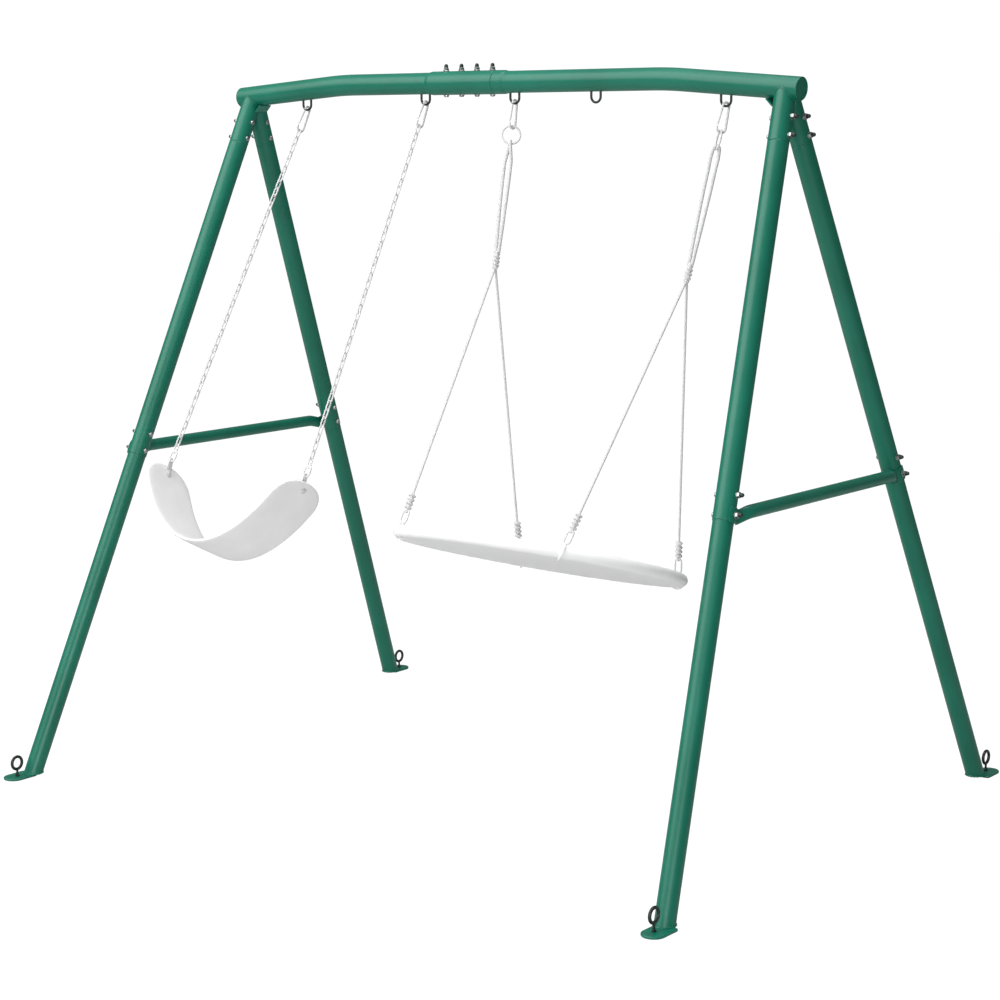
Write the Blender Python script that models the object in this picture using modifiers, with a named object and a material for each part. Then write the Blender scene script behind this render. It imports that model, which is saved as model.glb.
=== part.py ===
"""Steel A-frame swing set with a belt swing and a saucer swing, both caught mid-swing.

Metres, +Z up. The origin is on the ground at the centre of the footprint, +X runs along
the top beam, and -Y is the front, the side that both swings have swung out to.
"""
from math import asinh, atan2, cos, cosh, pi, radians, sin, sinh

import bmesh
import bpy
from mathutils import Matrix, Vector

# ---- driving dimensions ----
GAP = 0.0003                # clearance between pieces that touch

BEAM_HEIGHT = 1.800         # beam axis over the ground, on its straight middle
BEAM_R = 0.0275
BEAM_BORE_R = 0.0258
BEND_X = 0.516              # where the beam bends down
BEND_HALF = 0.045           # half the length of the bend
END_X = 0.883               # the beam's closed ends
END_DROP = 0.0287           # how far the ends are below the middle
END_WALL = 0.003
SLEEVE_R = 0.0300           # the left half's widened end, which takes the right half's spigot
SLEEVE_BORE_R = 0.0284
SLEEVE_X = -0.205
TAPER = 0.010
COLLAR_X = 0.026            # end of the collar that the sleeve butts against
SPIGOT_X = -0.190
SPIGOT_R = 0.0277
BEAM_BOLTS_X = (-0.164, -0.114, -0.064, -0.014)

LEG_TOP_X = 0.8416          # where the leg axes meet the beam axis
FOOT_X = 1.005
FOOT_Y = 0.7332
LEG_R = 0.0254
LEG_BORE_R = 0.0244
LEG_INNER_R = 0.0240        # swaged necks, and the whole lower leg
LEG_HOLLOW_R = 0.0225
SOCKET_TOP = 0.0665         # distances down the leg axis, from the beam axis
SOCKET_END = 0.137
MID_SEAM = 1.032
OVERLAP = 0.115             # how far the lower leg reaches up into the upper leg
SOCKET_BOLTS = (0.074, 0.120)
MID_BOLTS = (0.971, 1.017)
GUSSET = (0.024, 0.044, 0.004)

PLATE_W = 0.056
PLATE_T = 0.006
PLATE_INNER_Y = 0.732
PLATE_TIP_Y = 0.815
PLATE_X = 1.014
ANCHOR_X = 1.010
ANCHOR_Y = 0.780
ANCHOR_EYE_Z = 0.042
ANCHOR_EYE_R = 0.0165
ANCHOR_WIRE_R = 0.004
ANCHOR_SHANK_R = 0.003

BRACE_R = 0.0155
BRACE_PLATE = (0.0032, 0.036)
BRACE_WRAP = radians(36)       # on the leg's own facets, half of each flattened end

BOLT_R = 0.004
BOLT_CLEARANCE = 0.0005
HEAD = (0.0072, 0.0055)
WASHER = (0.0082, 0.0016)
NUT = (0.0074, 0.0068)
BOLT_TIP = 0.0095

HOOKS_X = (-0.645, -0.233, 0.056, 0.305, 0.679)
HOOK_WIRE_R = 0.003
HOOK_HALF = 0.014           # half the distance between a hook's legs
HOOK_DROP = 0.0535          # from the beam axis to the wire's centre at the hook's bottom

SNAP_WIRE_R = 0.003
SNAP_TOP_R = 0.0085
SNAP_BOW_R = 0.0120
SNAP_BOW_DOWN = 0.0525
GATE_R = 0.0026
GATE_PIVOT_DOWN = 0.0470
GATE_TOP_DOWN = 0.0046

BELT_ANGLE = radians(29.8)  # how far forward each swing is from hanging straight
BELT_PITCH = radians(3.7)   # how far the seat has tipped back about its hangers
BELT_RIVET_DOWN = 1.0715
BELT_HALF_CHORD = 0.236
BELT_SAG = 0.181
BELT_W = 0.166
BELT_T = 0.011
BELT_TIP = 0.021            # belt beyond each rivet
BELT_ROUND = 0.069          # length of each rounded end
RIVET_R = 0.0035
EYE_UP = 0.034              # hanger's eye over its rivet
CHAIN_R = 0.0072
CHAIN_WIRE_R = 0.002
TOP_LINK = (0.0052, 0.0257)
BIG_LINK = (0.0095, 0.0285)
BIG_WIRE_R = 0.0025

SAUCER_ANGLE = radians(16.65)
SAUCER_RING_DOWN = 1.113
SAUCER_R = 0.343
SAUCER_TUBE_R = 0.0145
MAT = (-0.010, 0.004)       # the cover's underside and top, from the ring's centre plane
MAT_NOTCH = (0.014, 0.020, 0.04)
ROPE_AT = radians(46)       # where the ropes meet the ring, from the beam's direction
ORING_R = 0.0230
ORING_WIRE_R = 0.0026
ORING_TURNS = (radians(38), radians(-45))
SAUCER_HOOK_TURNS = (0.0, radians(-26))
KNOT_DOWN = 0.405
KNOT_R = 0.0095
KNOT_H = 0.050
LOOP_ROPE_R = 0.0043
LOOP_SPREAD = ((0.35, 0.0092), (0.70, 0.0076), (1.0, 0.0052))
ROPE_R = 0.0030
STRAP_R = 0.0190            # loops of strap round the saucer's ring
STRAP_WIRE_R = 0.0022
ADJUSTER = (0.0095, 0.038)
ADJUSTER_UP = 0.080

SIDES = 20                  # facets round a tube
UP = Vector((0, 0, 1))

COLOURS = {
    "green_paint": ((0.019, 0.223, 0.136), 0.35, 0.0),
    "black_paint": ((0.004, 0.016, 0.012), 0.40, 0.0),
    "zinc": ((0.62, 0.64, 0.63), 0.30, 1.0),
    "pale_steel": ((0.80, 0.81, 0.81), 0.30, 1.0),
    "pale_rubber": ((0.70, 0.70, 0.70), 0.55, 0.0),
    "white_fabric": ((0.82, 0.83, 0.83), 0.85, 0.0),
    "white_rope": ((0.80, 0.80, 0.80), 0.80, 0.0),
}


# ---- scene, materials and placing ----
def clear_scene():
    for obj in list(bpy.data.objects):
        bpy.data.objects.remove(obj, do_unlink=True)


def new_collection(name):
    found = bpy.data.collections.new(name)
    bpy.context.scene.collection.children.link(found)
    return found


def make_materials():
    made = {}
    for name, (colour, roughness, metallic) in COLOURS.items():
        mat = bpy.data.materials.new(name)
        mat.use_nodes = True
        shader = mat.node_tree.nodes["Principled BSDF"]
        shader.inputs["Base Color"].default_value = (*colour, 1)
        shader.inputs["Roughness"].default_value = roughness
        shader.inputs["Metallic"].default_value = metallic
        made[name] = mat
    return made


def add(name, data, material=None, matrix=None, parent=None):
    """A part in the swing set's collection, placed in its parent's frame."""
    obj = bpy.data.objects.new(name, data)
    PARTS.objects.link(obj)
    if material:
        data.materials.append(MATERIALS[material])
    obj.parent = parent
    obj.matrix_local = matrix or Matrix()
    return obj


def add_empty(name, matrix):
    obj = bpy.data.objects.new(name, None)
    PARTS.objects.link(obj)
    obj.matrix_world = matrix
    return obj


def frame_at(origin, down, side):
    """A matrix whose -Z runs along down and whose X is as near to side as it can be."""
    z = -down.normalized()
    x = (side - side.dot(z) * z).normalized()
    turn = Matrix((x, z.cross(x), z)).transposed().to_4x4()
    return Matrix.Translation(origin) @ turn


# ---- shapes ----
def finish_mesh(name, bm):
    bmesh.ops.recalc_face_normals(bm, faces=bm.faces)
    mesh = bpy.data.meshes.new(name)
    bm.to_mesh(mesh)
    bm.free()
    mesh.shade_smooth()
    mesh.set_sharp_from_angle(angle=radians(35))
    return mesh


def cylinder(radius, low, high, sides=SIDES, axis="Z", turn=0.0):
    """A closed cylinder along one local axis. turn is in facets, and shifts its edges round."""
    bm = bmesh.new()
    place = Matrix.Translation((0, 0, (low + high) / 2)) @ Matrix.Rotation(turn * 2 * pi / sides, 4, "Z")
    bmesh.ops.create_cone(bm, cap_ends=True, segments=sides, radius1=radius, radius2=radius,
                          depth=high - low, matrix=place)
    if axis == "X":
        bmesh.ops.rotate(bm, verts=bm.verts, matrix=Matrix.Rotation(pi / 2, 3, "Y"))
    return finish_mesh("cylinder", bm)


def box(size, centre):
    bm = bmesh.new()
    bmesh.ops.create_cube(bm, size=1, matrix=Matrix.Translation(centre) @ Matrix.Diagonal((*size, 1)))
    return finish_mesh("box", bm)


def joined(meshes):
    """Several separate closed meshes as one, for a cutter with many holes."""
    bm = bmesh.new()
    for mesh, matrix in meshes:
        start = len(bm.verts)
        bm.from_mesh(mesh)
        bm.verts.ensure_lookup_table()
        bmesh.ops.transform(bm, matrix=matrix, verts=bm.verts[start:])
    return finish_mesh("cutter", bm)


def turned(outline, steps=SIDES):
    """An outline of (radius, height), top to bottom on its outer side, turned about local Z."""
    closed = outline[0][0] > 0
    mesh = bpy.data.meshes.new("outline")
    count = len(outline)
    edges = [(n, n + 1) for n in range(count - 1)] + ([(count - 1, 0)] if closed else [])
    mesh.from_pydata([(r, 0, z) for r, z in outline], edges, [])
    obj = bpy.data.objects.new("outline", mesh)
    PARTS.objects.link(obj)
    screw = obj.modifiers.new("turn", "SCREW")
    screw.steps = screw.render_steps = steps
    screw.use_merge_vertices = True
    screw.merge_threshold = 1e-6
    return evaluated(obj)


def evaluated(obj):
    """The object's mesh as its modifiers leave it, welded and closed. The object is removed."""
    bpy.context.view_layer.update()
    graph = bpy.context.evaluated_depsgraph_get()
    mesh = bpy.data.meshes.new_from_object(obj.evaluated_get(graph))
    bpy.data.objects.remove(obj, do_unlink=True)
    bm = bmesh.new()
    bm.from_mesh(mesh)
    bmesh.ops.remove_doubles(bm, verts=bm.verts, dist=1e-6)
    return finish_mesh("shape", bm)


def tube(points, radius, closed=False, resolution=1, widths=None):
    """A round bar along points. widths scale its radius at each of them."""
    curve = bpy.data.curves.new("path", "CURVE")
    curve.dimensions = "3D"
    curve.bevel_depth = radius
    curve.bevel_resolution = resolution
    curve.use_fill_caps = True
    spline = curve.splines.new("POLY")
    spline.points.add(len(points) - 1)
    spline.use_cyclic_u = closed
    for n, place in enumerate(points):
        spline.points[n].co = (*place, 1)
        spline.points[n].radius = widths[n] if widths else 1
    obj = bpy.data.objects.new("path", curve)
    PARTS.objects.link(obj)
    return evaluated(obj)


def ring_mesh(radius, wire, around=16, section=6):
    """A ring in the local XZ plane."""
    points = [Vector((radius * cos(a), 0, radius * sin(a))) for a in turns(around)]
    return tube(points, wire, closed=True, resolution=(section - 4) // 2)


def turns(count):
    return [2 * pi * n / count for n in range(count)]


def arc(centre, radius, start, end, count):
    """Points in the local YZ plane. An angle of 0 is straight up, and pi/2 is +Y."""
    angles = [start + (end - start) * n / (count - 1) for n in range(count)]
    return [centre + radius * Vector((0, sin(a), cos(a))) for a in angles]


def lofted(rings):
    """A closed solid through rings that have the same number of points."""
    bm = bmesh.new()
    rows = [[bm.verts.new(place) for place in ring] for ring in rings]
    count = len(rows[0])
    for row, following in zip(rows, rows[1:]):
        for n in range(count):
            m = (n + 1) % count
            bm.faces.new((row[n], row[m], following[m], following[n]))
    bm.faces.new(rows[0])
    bm.faces.new(rows[-1])
    return finish_mesh("loft", bm)


def boolean(obj, operation, mesh, matrix=None):
    """Joins or cuts obj with a mesh that is placed in obj's own parent frame."""
    tool = bpy.data.objects.new(obj.name + "_tool", mesh)
    CUTTERS.objects.link(tool)
    tool.parent = obj.parent
    tool.matrix_local = matrix or Matrix()
    tool.hide_render = True
    tool.display_type = "WIRE"
    modifier = obj.modifiers.new(operation.lower(), "BOOLEAN")
    modifier.operation = operation
    modifier.solver = "EXACT"
    modifier.object = tool


# ---- the frame's lines ----
def beam_z(x):
    """Height of the beam axis, which is straight, then bends down to each end."""
    slope = END_DROP / (END_X - BEND_X)
    past = abs(x) - (BEND_X - BEND_HALF)
    if past <= 0:
        return BEAM_HEIGHT
    if past < 2 * BEND_HALF:
        return BEAM_HEIGHT - slope * past ** 2 / (4 * BEND_HALF)
    return BEAM_HEIGHT - slope * (abs(x) - BEND_X)


def beam_at(x):
    return Vector((x, 0, beam_z(x)))


def leg_frame(side, face):
    """Local -Z runs down a leg from the beam axis, and local X is outwards, away from the swings."""
    top = beam_at(side * LEG_TOP_X)
    foot = Vector((side * FOOT_X, face * FOOT_Y, 0))
    return frame_at(top, foot - top, Vector((side, 0, 0)))


def leg_length():
    return (Vector((FOOT_X, FOOT_Y, 0)) - beam_at(LEG_TOP_X)).length


def bolt_holes(places, reach, across):
    """Cylinders along local X, at distances down a leg."""
    mesh = cylinder(BOLT_R + BOLT_CLEARANCE, -reach, reach, 8, "X", 0.4)
    return joined([(mesh, Matrix.Translation((across, 0, -down))) for down in places])


# ---- frame parts ----
def beam_half(side):
    """One half of the top beam, with its two leg sockets and the gusset welded on."""
    sign = 1 if side == "right" else -1
    bend = [BEND_X + BEND_HALF * k for k in (-1, -0.4, 0.4, 1)]
    if sign > 0:
        radii = [SPIGOT_R, SPIGOT_R, SLEEVE_R, SLEEVE_R, BEAM_R]
        xs = [SPIGOT_X, -1e-4, 1e-4, COLLAR_X, COLLAR_X + TAPER] + bend + [END_X]
        radii += [BEAM_R] * (len(bend) + 1)
        bore = [SPIGOT_X - 0.01] + bend + [END_X - END_WALL]
        wide = None
    else:
        xs = [-END_X] + [-x for x in reversed(bend)] + [SLEEVE_X - TAPER, SLEEVE_X, -GAP]
        radii = [BEAM_R] * (len(bend) + 2) + [SLEEVE_R, SLEEVE_R]
        bore = [-END_X + END_WALL] + [-x for x in reversed(bend)] + [SPIGOT_X]
        wide = [SPIGOT_X - 0.008, 0.01]
    outer = tube([beam_at(x) for x in xs], 1, resolution=(SIDES - 4) // 2, widths=radii)
    obj = add(f"beam_{side}", outer, "green_paint")
    boolean(obj, "UNION", box(GUSSET, (0, 0, 0)), gusset_frame(sign))
    for face in (-1, 1):
        socket = cylinder(LEG_R, -SOCKET_END, -0.004, turn=0.15 * (2 + face))
        boolean(obj, "UNION", socket, leg_frame(sign, face))
    hollow = tube([beam_at(x) for x in bore], BEAM_BORE_R, resolution=(SIDES - 4) // 2)
    boolean(obj, "DIFFERENCE", hollow)
    if wide:
        socket = tube([beam_at(x) for x in wide], SLEEVE_BORE_R, resolution=(SIDES - 4) // 2)
        boolean(obj, "DIFFERENCE", socket)
    for face in (-1, 1):
        matrix = leg_frame(sign, face)
        boolean(obj, "DIFFERENCE", cylinder(LEG_BORE_R, -SOCKET_END - 0.01, -SOCKET_TOP), matrix)
        boolean(obj, "DIFFERENCE", bolt_holes(SOCKET_BOLTS, 0.04, 0), matrix)
    boolean(obj, "DIFFERENCE", beam_holes(sign))
    return obj


def gusset_frame(sign):
    """Across the inside corner under the beam, between the two sockets, at 45 degrees."""
    x = sign * (LEG_TOP_X - LEG_R - 0.008)
    centre = Vector((x, 0, beam_z(x) - BEAM_R - 0.008))
    return Matrix.Translation(centre) @ Matrix.Rotation(sign * radians(45), 4, "Y")


def beam_holes(sign):
    """Holes for the sleeve's bolts, and for both legs of each hook in the lower wall."""
    bolt = cylinder(BOLT_R + BOLT_CLEARANCE, -0.04, 0.04, 8, turn=0.4)
    holes = [(bolt, Matrix.Translation(beam_at(x))) for x in BEAM_BOLTS_X]
    leg = cylinder(HOOK_WIRE_R + BOLT_CLEARANCE, -0.035, -0.015, 8, turn=0.4)
    for x in HOOKS_X:
        if (x > SLEEVE_X / 2) == (sign > 0):
            for step in (-HOOK_HALF, HOOK_HALF):
                place = Vector((x + step, 0, beam_z(x)))
                holes.append((leg, Matrix.Translation(place)))
    return joined(holes)


def upper_leg(name, side, face):
    outline = [
        (LEG_INNER_R, -SOCKET_TOP - 0.0012),
        (LEG_INNER_R, -SOCKET_END - 0.0010),
        (LEG_R, -SOCKET_END - 0.0012),
        (LEG_R, -MID_SEAM),
        (LEG_BORE_R, -MID_SEAM),
        (LEG_BORE_R, -MID_SEAM + OVERLAP + 0.004),
        (LEG_HOLLOW_R, -MID_SEAM + OVERLAP + 0.006),
        (LEG_HOLLOW_R, -SOCKET_TOP - 0.0012),
    ]
    obj = add(name, turned(outline), "green_paint", leg_frame(side, face))
    boolean(obj, "DIFFERENCE", bolt_holes(SOCKET_BOLTS + MID_BOLTS, 0.04, 0), leg_frame(side, face))
    return obj


def lower_leg(name, side, face):
    """A straight tube that is cut level at the ground and welded to its foot plate."""
    end = leg_length() + 0.03
    outline = [
        (LEG_INNER_R, -MID_SEAM + OVERLAP),
        (LEG_INNER_R, -end),
        (LEG_HOLLOW_R, -end),
        (LEG_HOLLOW_R, -MID_SEAM + OVERLAP),
    ]
    matrix = leg_frame(side, face)
    obj = add(name, turned(outline), "green_paint", matrix)
    below = box((0.3, 0.3, 0.2), (side * FOOT_X, face * FOOT_Y, PLATE_T / 2 - 0.1))
    boolean(obj, "DIFFERENCE", below)
    place = Matrix.Translation((side * PLATE_X, 0, 0)) @ Matrix.Diagonal((1, face, 1, 1))
    boolean(obj, "UNION", foot_plate(side), place)
    boolean(obj, "DIFFERENCE", bolt_holes(MID_BOLTS, 0.04, 0), matrix)
    return obj


def foot_plate(side):
    """A flat plate along +Y with a round outer end and the anchor's hole."""
    half = PLATE_W / 2
    round_y = PLATE_TIP_Y - half
    outline = [(-half, PLATE_INNER_Y), (half, PLATE_INNER_Y)]
    outline += [(half * cos(a), round_y + half * sin(a)) for a in (pi * n / 12 for n in range(13))]
    rings = [[Vector((x, y, z)) for x, y in outline] for z in (0, PLATE_T)]
    obj = bpy.data.objects.new("plate", lofted(rings))
    PARTS.objects.link(obj)
    hole = cylinder(ANCHOR_SHANK_R + BOLT_CLEARANCE, -0.01, 0.02, 8)
    boolean(obj, "DIFFERENCE", hole, Matrix.Translation((side * (ANCHOR_X - PLATE_X), ANCHOR_Y, 0)))
    mesh = evaluated(obj)
    for tool in [o for o in CUTTERS.objects if o.name.startswith("plate_tool")]:
        bpy.data.objects.remove(tool, do_unlink=True)
    return mesh


def ground_anchor(name, side, face):
    """An eye whose shank stands in the foot plate's hole. The eye faces along the beam."""
    eye = ring_mesh(ANCHOR_EYE_R, ANCHOR_WIRE_R)
    matrix = Matrix.Translation((side * ANCHOR_X, face * ANCHOR_Y, ANCHOR_EYE_Z))
    obj = add(name, eye, "black_paint", matrix @ Matrix.Rotation(pi / 2, 4, "Z"))
    shank = cylinder(ANCHOR_SHANK_R, 0.0006 - ANCHOR_EYE_Z, -ANCHOR_EYE_R, 8)
    boolean(obj, "UNION", shank, matrix)
    return obj


def through_bolt(name, matrix, grip_head, grip_nut):
    """A bolt along local Z, with its head at -Z and its washer and nut at +Z."""
    under = grip_nut + GAP
    outline = [
        (0, under + WASHER[1] + NUT[1] + BOLT_TIP),
        (BOLT_R, under + WASHER[1] + NUT[1] + BOLT_TIP - 0.001),
        (BOLT_R, under + WASHER[1] + NUT[1]),
        (NUT[0], under + WASHER[1] + NUT[1]),
        (NUT[0], under + WASHER[1]),
        (WASHER[0], under + WASHER[1]),
        (WASHER[0], under),
        (BOLT_R, under),
        (BOLT_R, -grip_head - GAP),
        (HEAD[0], -grip_head - GAP),
        (HEAD[0], -grip_head - GAP - HEAD[1]),
        (0, -grip_head - GAP - HEAD[1]),
    ]
    return add(name, turned(outline, 6), "zinc", matrix)


def leg_bolt(name, side, face, down, extra=0.0):
    """Head towards the swings, nut outwards. extra is a brace's thickness under the nut."""
    matrix = leg_frame(side, face) @ Matrix.Translation((0, 0, -down))
    along_x = Matrix.Rotation(pi / 2, 4, "Y")
    return through_bolt(name, matrix @ along_x, LEG_R, LEG_R + extra)


def brace(name, side):
    """A tube across an A-frame's outer side, whose flattened ends wrap round the legs."""
    rings = brace_end(side, -1)
    rings += [list(ring) for ring in reversed(brace_end(side, 1))]
    obj = add(name, lofted(rings), "green_paint")
    for face in (-1, 1):
        boolean(obj, "DIFFERENCE", bolt_holes(MID_BOLTS[1:], 0.03, LEG_R), leg_frame(side, face))
    return obj


def brace_end(side, face):
    """Rings from a brace's tip to where its round tube starts."""
    matrix = leg_frame(side, face)
    down = MID_BOLTS[1]
    thick, tall = BRACE_PLATE
    inner = LEG_R + GAP
    towards = -1 if (matrix.to_3x3() @ Vector((0, 1, 0))).y * face > 0 else 1
    rings = []
    for share in (-1, -0.5, 0, 0.5, 1):
        angle = share * BRACE_WRAP * towards
        half = tall / 2 * (0.72 if share == -1 else 1)
        ring = []
        for n in range(12):
            a = 2 * pi * n / 12 + pi / 12
            out = inner + thick / 2 + thick / 2 * max(-1, min(1, 1.6 * cos(a)))
            high = half * max(-1, min(1, 1.15 * sin(a)))
            ring.append(matrix @ Vector((out * cos(angle), out * sin(angle), high - down)))
        rings.append(ring)
    centre = matrix @ Vector((inner + thick / 2, 0, -down))
    for step, width in ((0.040, 0.85), (0.062, 1.0)):
        spot = Vector((centre.x, centre.y - face * step, centre.z))
        angles = [2 * pi * n / 12 + pi / 12 for n in range(12)]
        rings.append([spot + BRACE_R * Vector((side * width * cos(a), 0, sin(a))) for a in angles])
    return rings


def beam_hook(name, x):
    """A bent rod whose two legs go up through the beam's lower wall."""
    z = beam_z(x)
    bottom = z - HOOK_DROP + HOOK_HALF
    top = z - BEAM_R + 0.008
    bow = [Vector((x + HOOK_HALF * cos(a), 0, bottom + HOOK_HALF * sin(a)))
           for a in (pi + pi * n / 8 for n in range(9))]
    points = [Vector((x - HOOK_HALF, 0, top))] + bow + [Vector((x + HOOK_HALF, 0, top))]
    return add(name, tube(points, HOOK_WIRE_R), "black_paint")


# ---- snap hooks ----
def snap_hook(name, matrix, parent):
    """A pear-shaped wire hook in the local YZ plane, open at the front for its gate."""
    low = Vector((0, 0, -SNAP_BOW_DOWN))
    points = arc(Vector(), SNAP_TOP_R, radians(-100), radians(82), 8)
    points += arc(low, SNAP_BOW_R, radians(84), radians(268), 9)
    body = tube(points + [low + Vector((0, -SNAP_BOW_R, 0.0012))], SNAP_WIRE_R)
    return add(name, body, "pale_steel", matrix, parent)


def gate_pivot():
    return Vector((0, -SNAP_BOW_R, -GATE_PIVOT_DOWN))


def snap_gate(name, matrix, parent):
    top = Vector((0, -SNAP_TOP_R, -GATE_TOP_DOWN)) - gate_pivot()
    rod = tube([Vector((0, 0, 0)), top], GATE_R)
    return add(name, rod, "pale_steel", matrix @ Matrix.Translation(gate_pivot()), parent)


# ---- belt swing ----
def swing_frame(name, hooks, angle):
    """An empty halfway between two hooks, turned forward about X by the swing's angle."""
    pivots = [pivot_at(x) for x in hooks]
    middle = (pivots[0] + pivots[1]) / 2
    empty = add_empty(name, Matrix.Translation(middle) @ Matrix.Rotation(-angle, 4, "X"))
    return empty, [empty.matrix_world.inverted() @ p for p in pivots]


def pivot_at(x):
    return Vector((x, 0, beam_z(x) - HOOK_DROP))


def catenary_size():
    """The catenary's scale that gives the belt's chord and sag, found by halving."""
    low, high = 0.05, 2.0
    for _ in range(60):
        size = (low + high) / 2
        sag = size * (cosh(BELT_HALF_CHORD / size) - 1)
        low, high = (size, high) if sag > BELT_SAG else (low, size)
    return size


def belt_point(s, size):
    """Place and direction in the belt's XZ plane at s metres of belt from its middle."""
    half = size * sinh(BELT_HALF_CHORD / size)
    inside = max(-half, min(half, s))
    x = size * asinh(inside / size)
    place = Vector((x, 0, size * (cosh(x / size) - 1) - BELT_SAG - BELT_RIVET_DOWN))
    along = Vector((1, 0, sinh(x / size))).normalized()
    return place + along * (s - inside), along


def belt_half_width(s, length):
    """Half the belt's width, which is less on its rounded ends."""
    left = length - abs(s)
    if left >= BELT_ROUND:
        return BELT_W / 2
    return BELT_W / 2 * (1 - (1 - left / BELT_ROUND) ** 2.4) ** (1 / 2.4)


def belt_seat(parent):
    size = catenary_size()
    length = size * sinh(BELT_HALF_CHORD / size) + BELT_TIP
    inner = length - BELT_ROUND
    stations = [inner * n / 9 for n in range(-9, 10)]
    tip = [inner + (length - inner) * k for k in (0.3, 0.55, 0.75, 0.9, 0.985)]
    stations = [-s for s in reversed(tip)] + stations + tip
    rings = []
    for s in stations:
        place, along = belt_point(s, size)
        out = Vector((-along.z, 0, along.x)) * BELT_T / 2
        half = Vector((0, belt_half_width(s, length), 0))
        rings.append([place - half - out, place + half - out, place + half + out, place - half + out])
    obj = add("belt_seat", lofted(rings), "pale_rubber", None, parent)
    for side in (-1, 1):
        hole = cylinder(RIVET_R + BOLT_CLEARANCE, -0.02, 0.02, 8)
        boolean(obj, "DIFFERENCE", hole, rivet_frame(side))
    return obj


def rivet_frame(side):
    """Local Z is the belt's normal at its rivet, pointing in towards the sitter."""
    size = catenary_size()
    place, along = belt_point(side * size * sinh(BELT_HALF_CHORD / size), size)
    normal = Vector((-along.z, 0, along.x))
    return frame_at(place, -normal, Vector((0, 1, 0)))


def hanger_eye(side):
    """Where the chain's last link goes through the hanger, in the swing's frame."""
    place = rivet_frame(side).translation
    return Vector((place.x - side * 0.002, 0, place.z + EYE_UP))


def seat_frame(swing):
    """An empty that tips the seat back about the line through both hangers' eyes."""
    eyes = Matrix.Translation((0, 0, hanger_eye(1).z))
    tipped = eyes @ Matrix.Rotation(BELT_PITCH, 4, "X") @ eyes.inverted()
    return add_empty("belt_seat_pivot", swing.matrix_world @ tipped)


def seat_hanger(name, side, parent):
    """A bent steel strap riveted to the belt's inner face, with an eye for the chain."""
    matrix = rivet_frame(side)
    face = BELT_T / 2 + GAP
    normal = matrix.to_3x3() @ UP
    eye = hanger_eye(side)
    foot = matrix.translation + normal * (face + 0.0015)
    along = Vector((normal.z, 0, -normal.x)) * (1 if side > 0 else -1)
    spine = [foot - along * 0.010, foot + along * 0.009, Vector((eye.x, 0, eye.z - 0.014)),
             Vector((eye.x, 0, eye.z + 0.008))]
    widths = (0.009, 0.009, 0.008, 0.0065)
    rings = []
    for n, (place, half) in enumerate(zip(spine, widths)):
        before, after = spine[max(n - 1, 0)], spine[min(n + 1, 3)]
        way = (after - before).normalized()
        thick = Vector((way.z, 0, -way.x)) * 0.0014
        wide = Vector((0, half, 0))
        rings.append([place - wide - thick, place + wide - thick, place + wide + thick, place - wide + thick])
    obj = add(name, lofted(rings), "pale_steel", None, parent)
    shank = cylinder(RIVET_R, -face - 0.0002, face + 0.001, 8)
    head = cylinder(0.0065, -face - 0.0025, -face, 8)
    boolean(obj, "UNION", shank, matrix)
    boolean(obj, "UNION", head, matrix)
    boolean(obj, "DIFFERENCE", cylinder(0.0038, -0.01, 0.01, 10, "X"), Matrix.Translation(eye))
    return obj


def long_link(half_width, height, wire, down):
    """A long chain link in the local XZ plane, with the middle of its top at down."""
    straight = height / 2 - half_width
    points = []
    for centre, start in ((straight, 0), (-straight, pi)):
        for n in range(7):
            a = start + pi * n / 6
            points.append(Vector((half_width * cos(a), 0, centre + half_width * sin(a) - down - height / 2)))
    return tube(points, wire, closed=True)


def belt_chain(name, pivot, eye, parent):
    """One run of chain as a plain bar of its outer size, with its end links made whole."""
    matrix = frame_at(pivot, eye - pivot, Vector((1, 0, 0)))
    reach = (eye - pivot).length
    top = SNAP_BOW_DOWN + SNAP_BOW_R - SNAP_WIRE_R - CHAIN_WIRE_R - 0.0006
    bar = cylinder(CHAIN_R, -(reach - BIG_LINK[1] + 0.003), -(top + TOP_LINK[1] - 0.005), 8)
    obj = add(name, bar, "pale_steel", matrix, parent)
    boolean(obj, "UNION", long_link(*TOP_LINK, CHAIN_WIRE_R, top), matrix)
    boolean(obj, "UNION", long_link(*BIG_LINK, BIG_WIRE_R, reach - BIG_LINK[1]), matrix)
    return obj


def make_belt_swing():
    empty, pivots = swing_frame("belt_swing_pivot", HOOKS_X[:2], BELT_ANGLE)
    seat = seat_frame(empty)
    belt_seat(seat)
    for side, label, pivot in ((-1, "left", pivots[0]), (1, "right", pivots[1])):
        eye = hanger_eye(side)
        matrix = frame_at(pivot, eye - pivot, Vector((1, 0, 0)))
        snap_hook(f"belt_snap_hook_{label}", matrix, empty)
        snap_gate(f"belt_snap_gate_{label}", matrix, empty)
        belt_chain(f"belt_chain_{label}", pivot, eye, empty)
        seat_hanger(f"seat_hanger_{label}", side, seat)


# ---- saucer swing ----
def rope_foot(side, face):
    """Where a rope's strap goes round the ring, in the swing's frame."""
    return Vector((side * SAUCER_R * cos(ROPE_AT), face * SAUCER_R * sin(ROPE_AT), -SAUCER_RING_DOWN))


def saucer_ring(parent):
    mesh = ring_mesh(SAUCER_R, SAUCER_TUBE_R, 48, 8)
    matrix = Matrix.Translation((0, 0, -SAUCER_RING_DOWN)) @ Matrix.Rotation(pi / 2, 4, "X")
    return add("saucer_ring", mesh, "white_fabric", matrix, parent)


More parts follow.
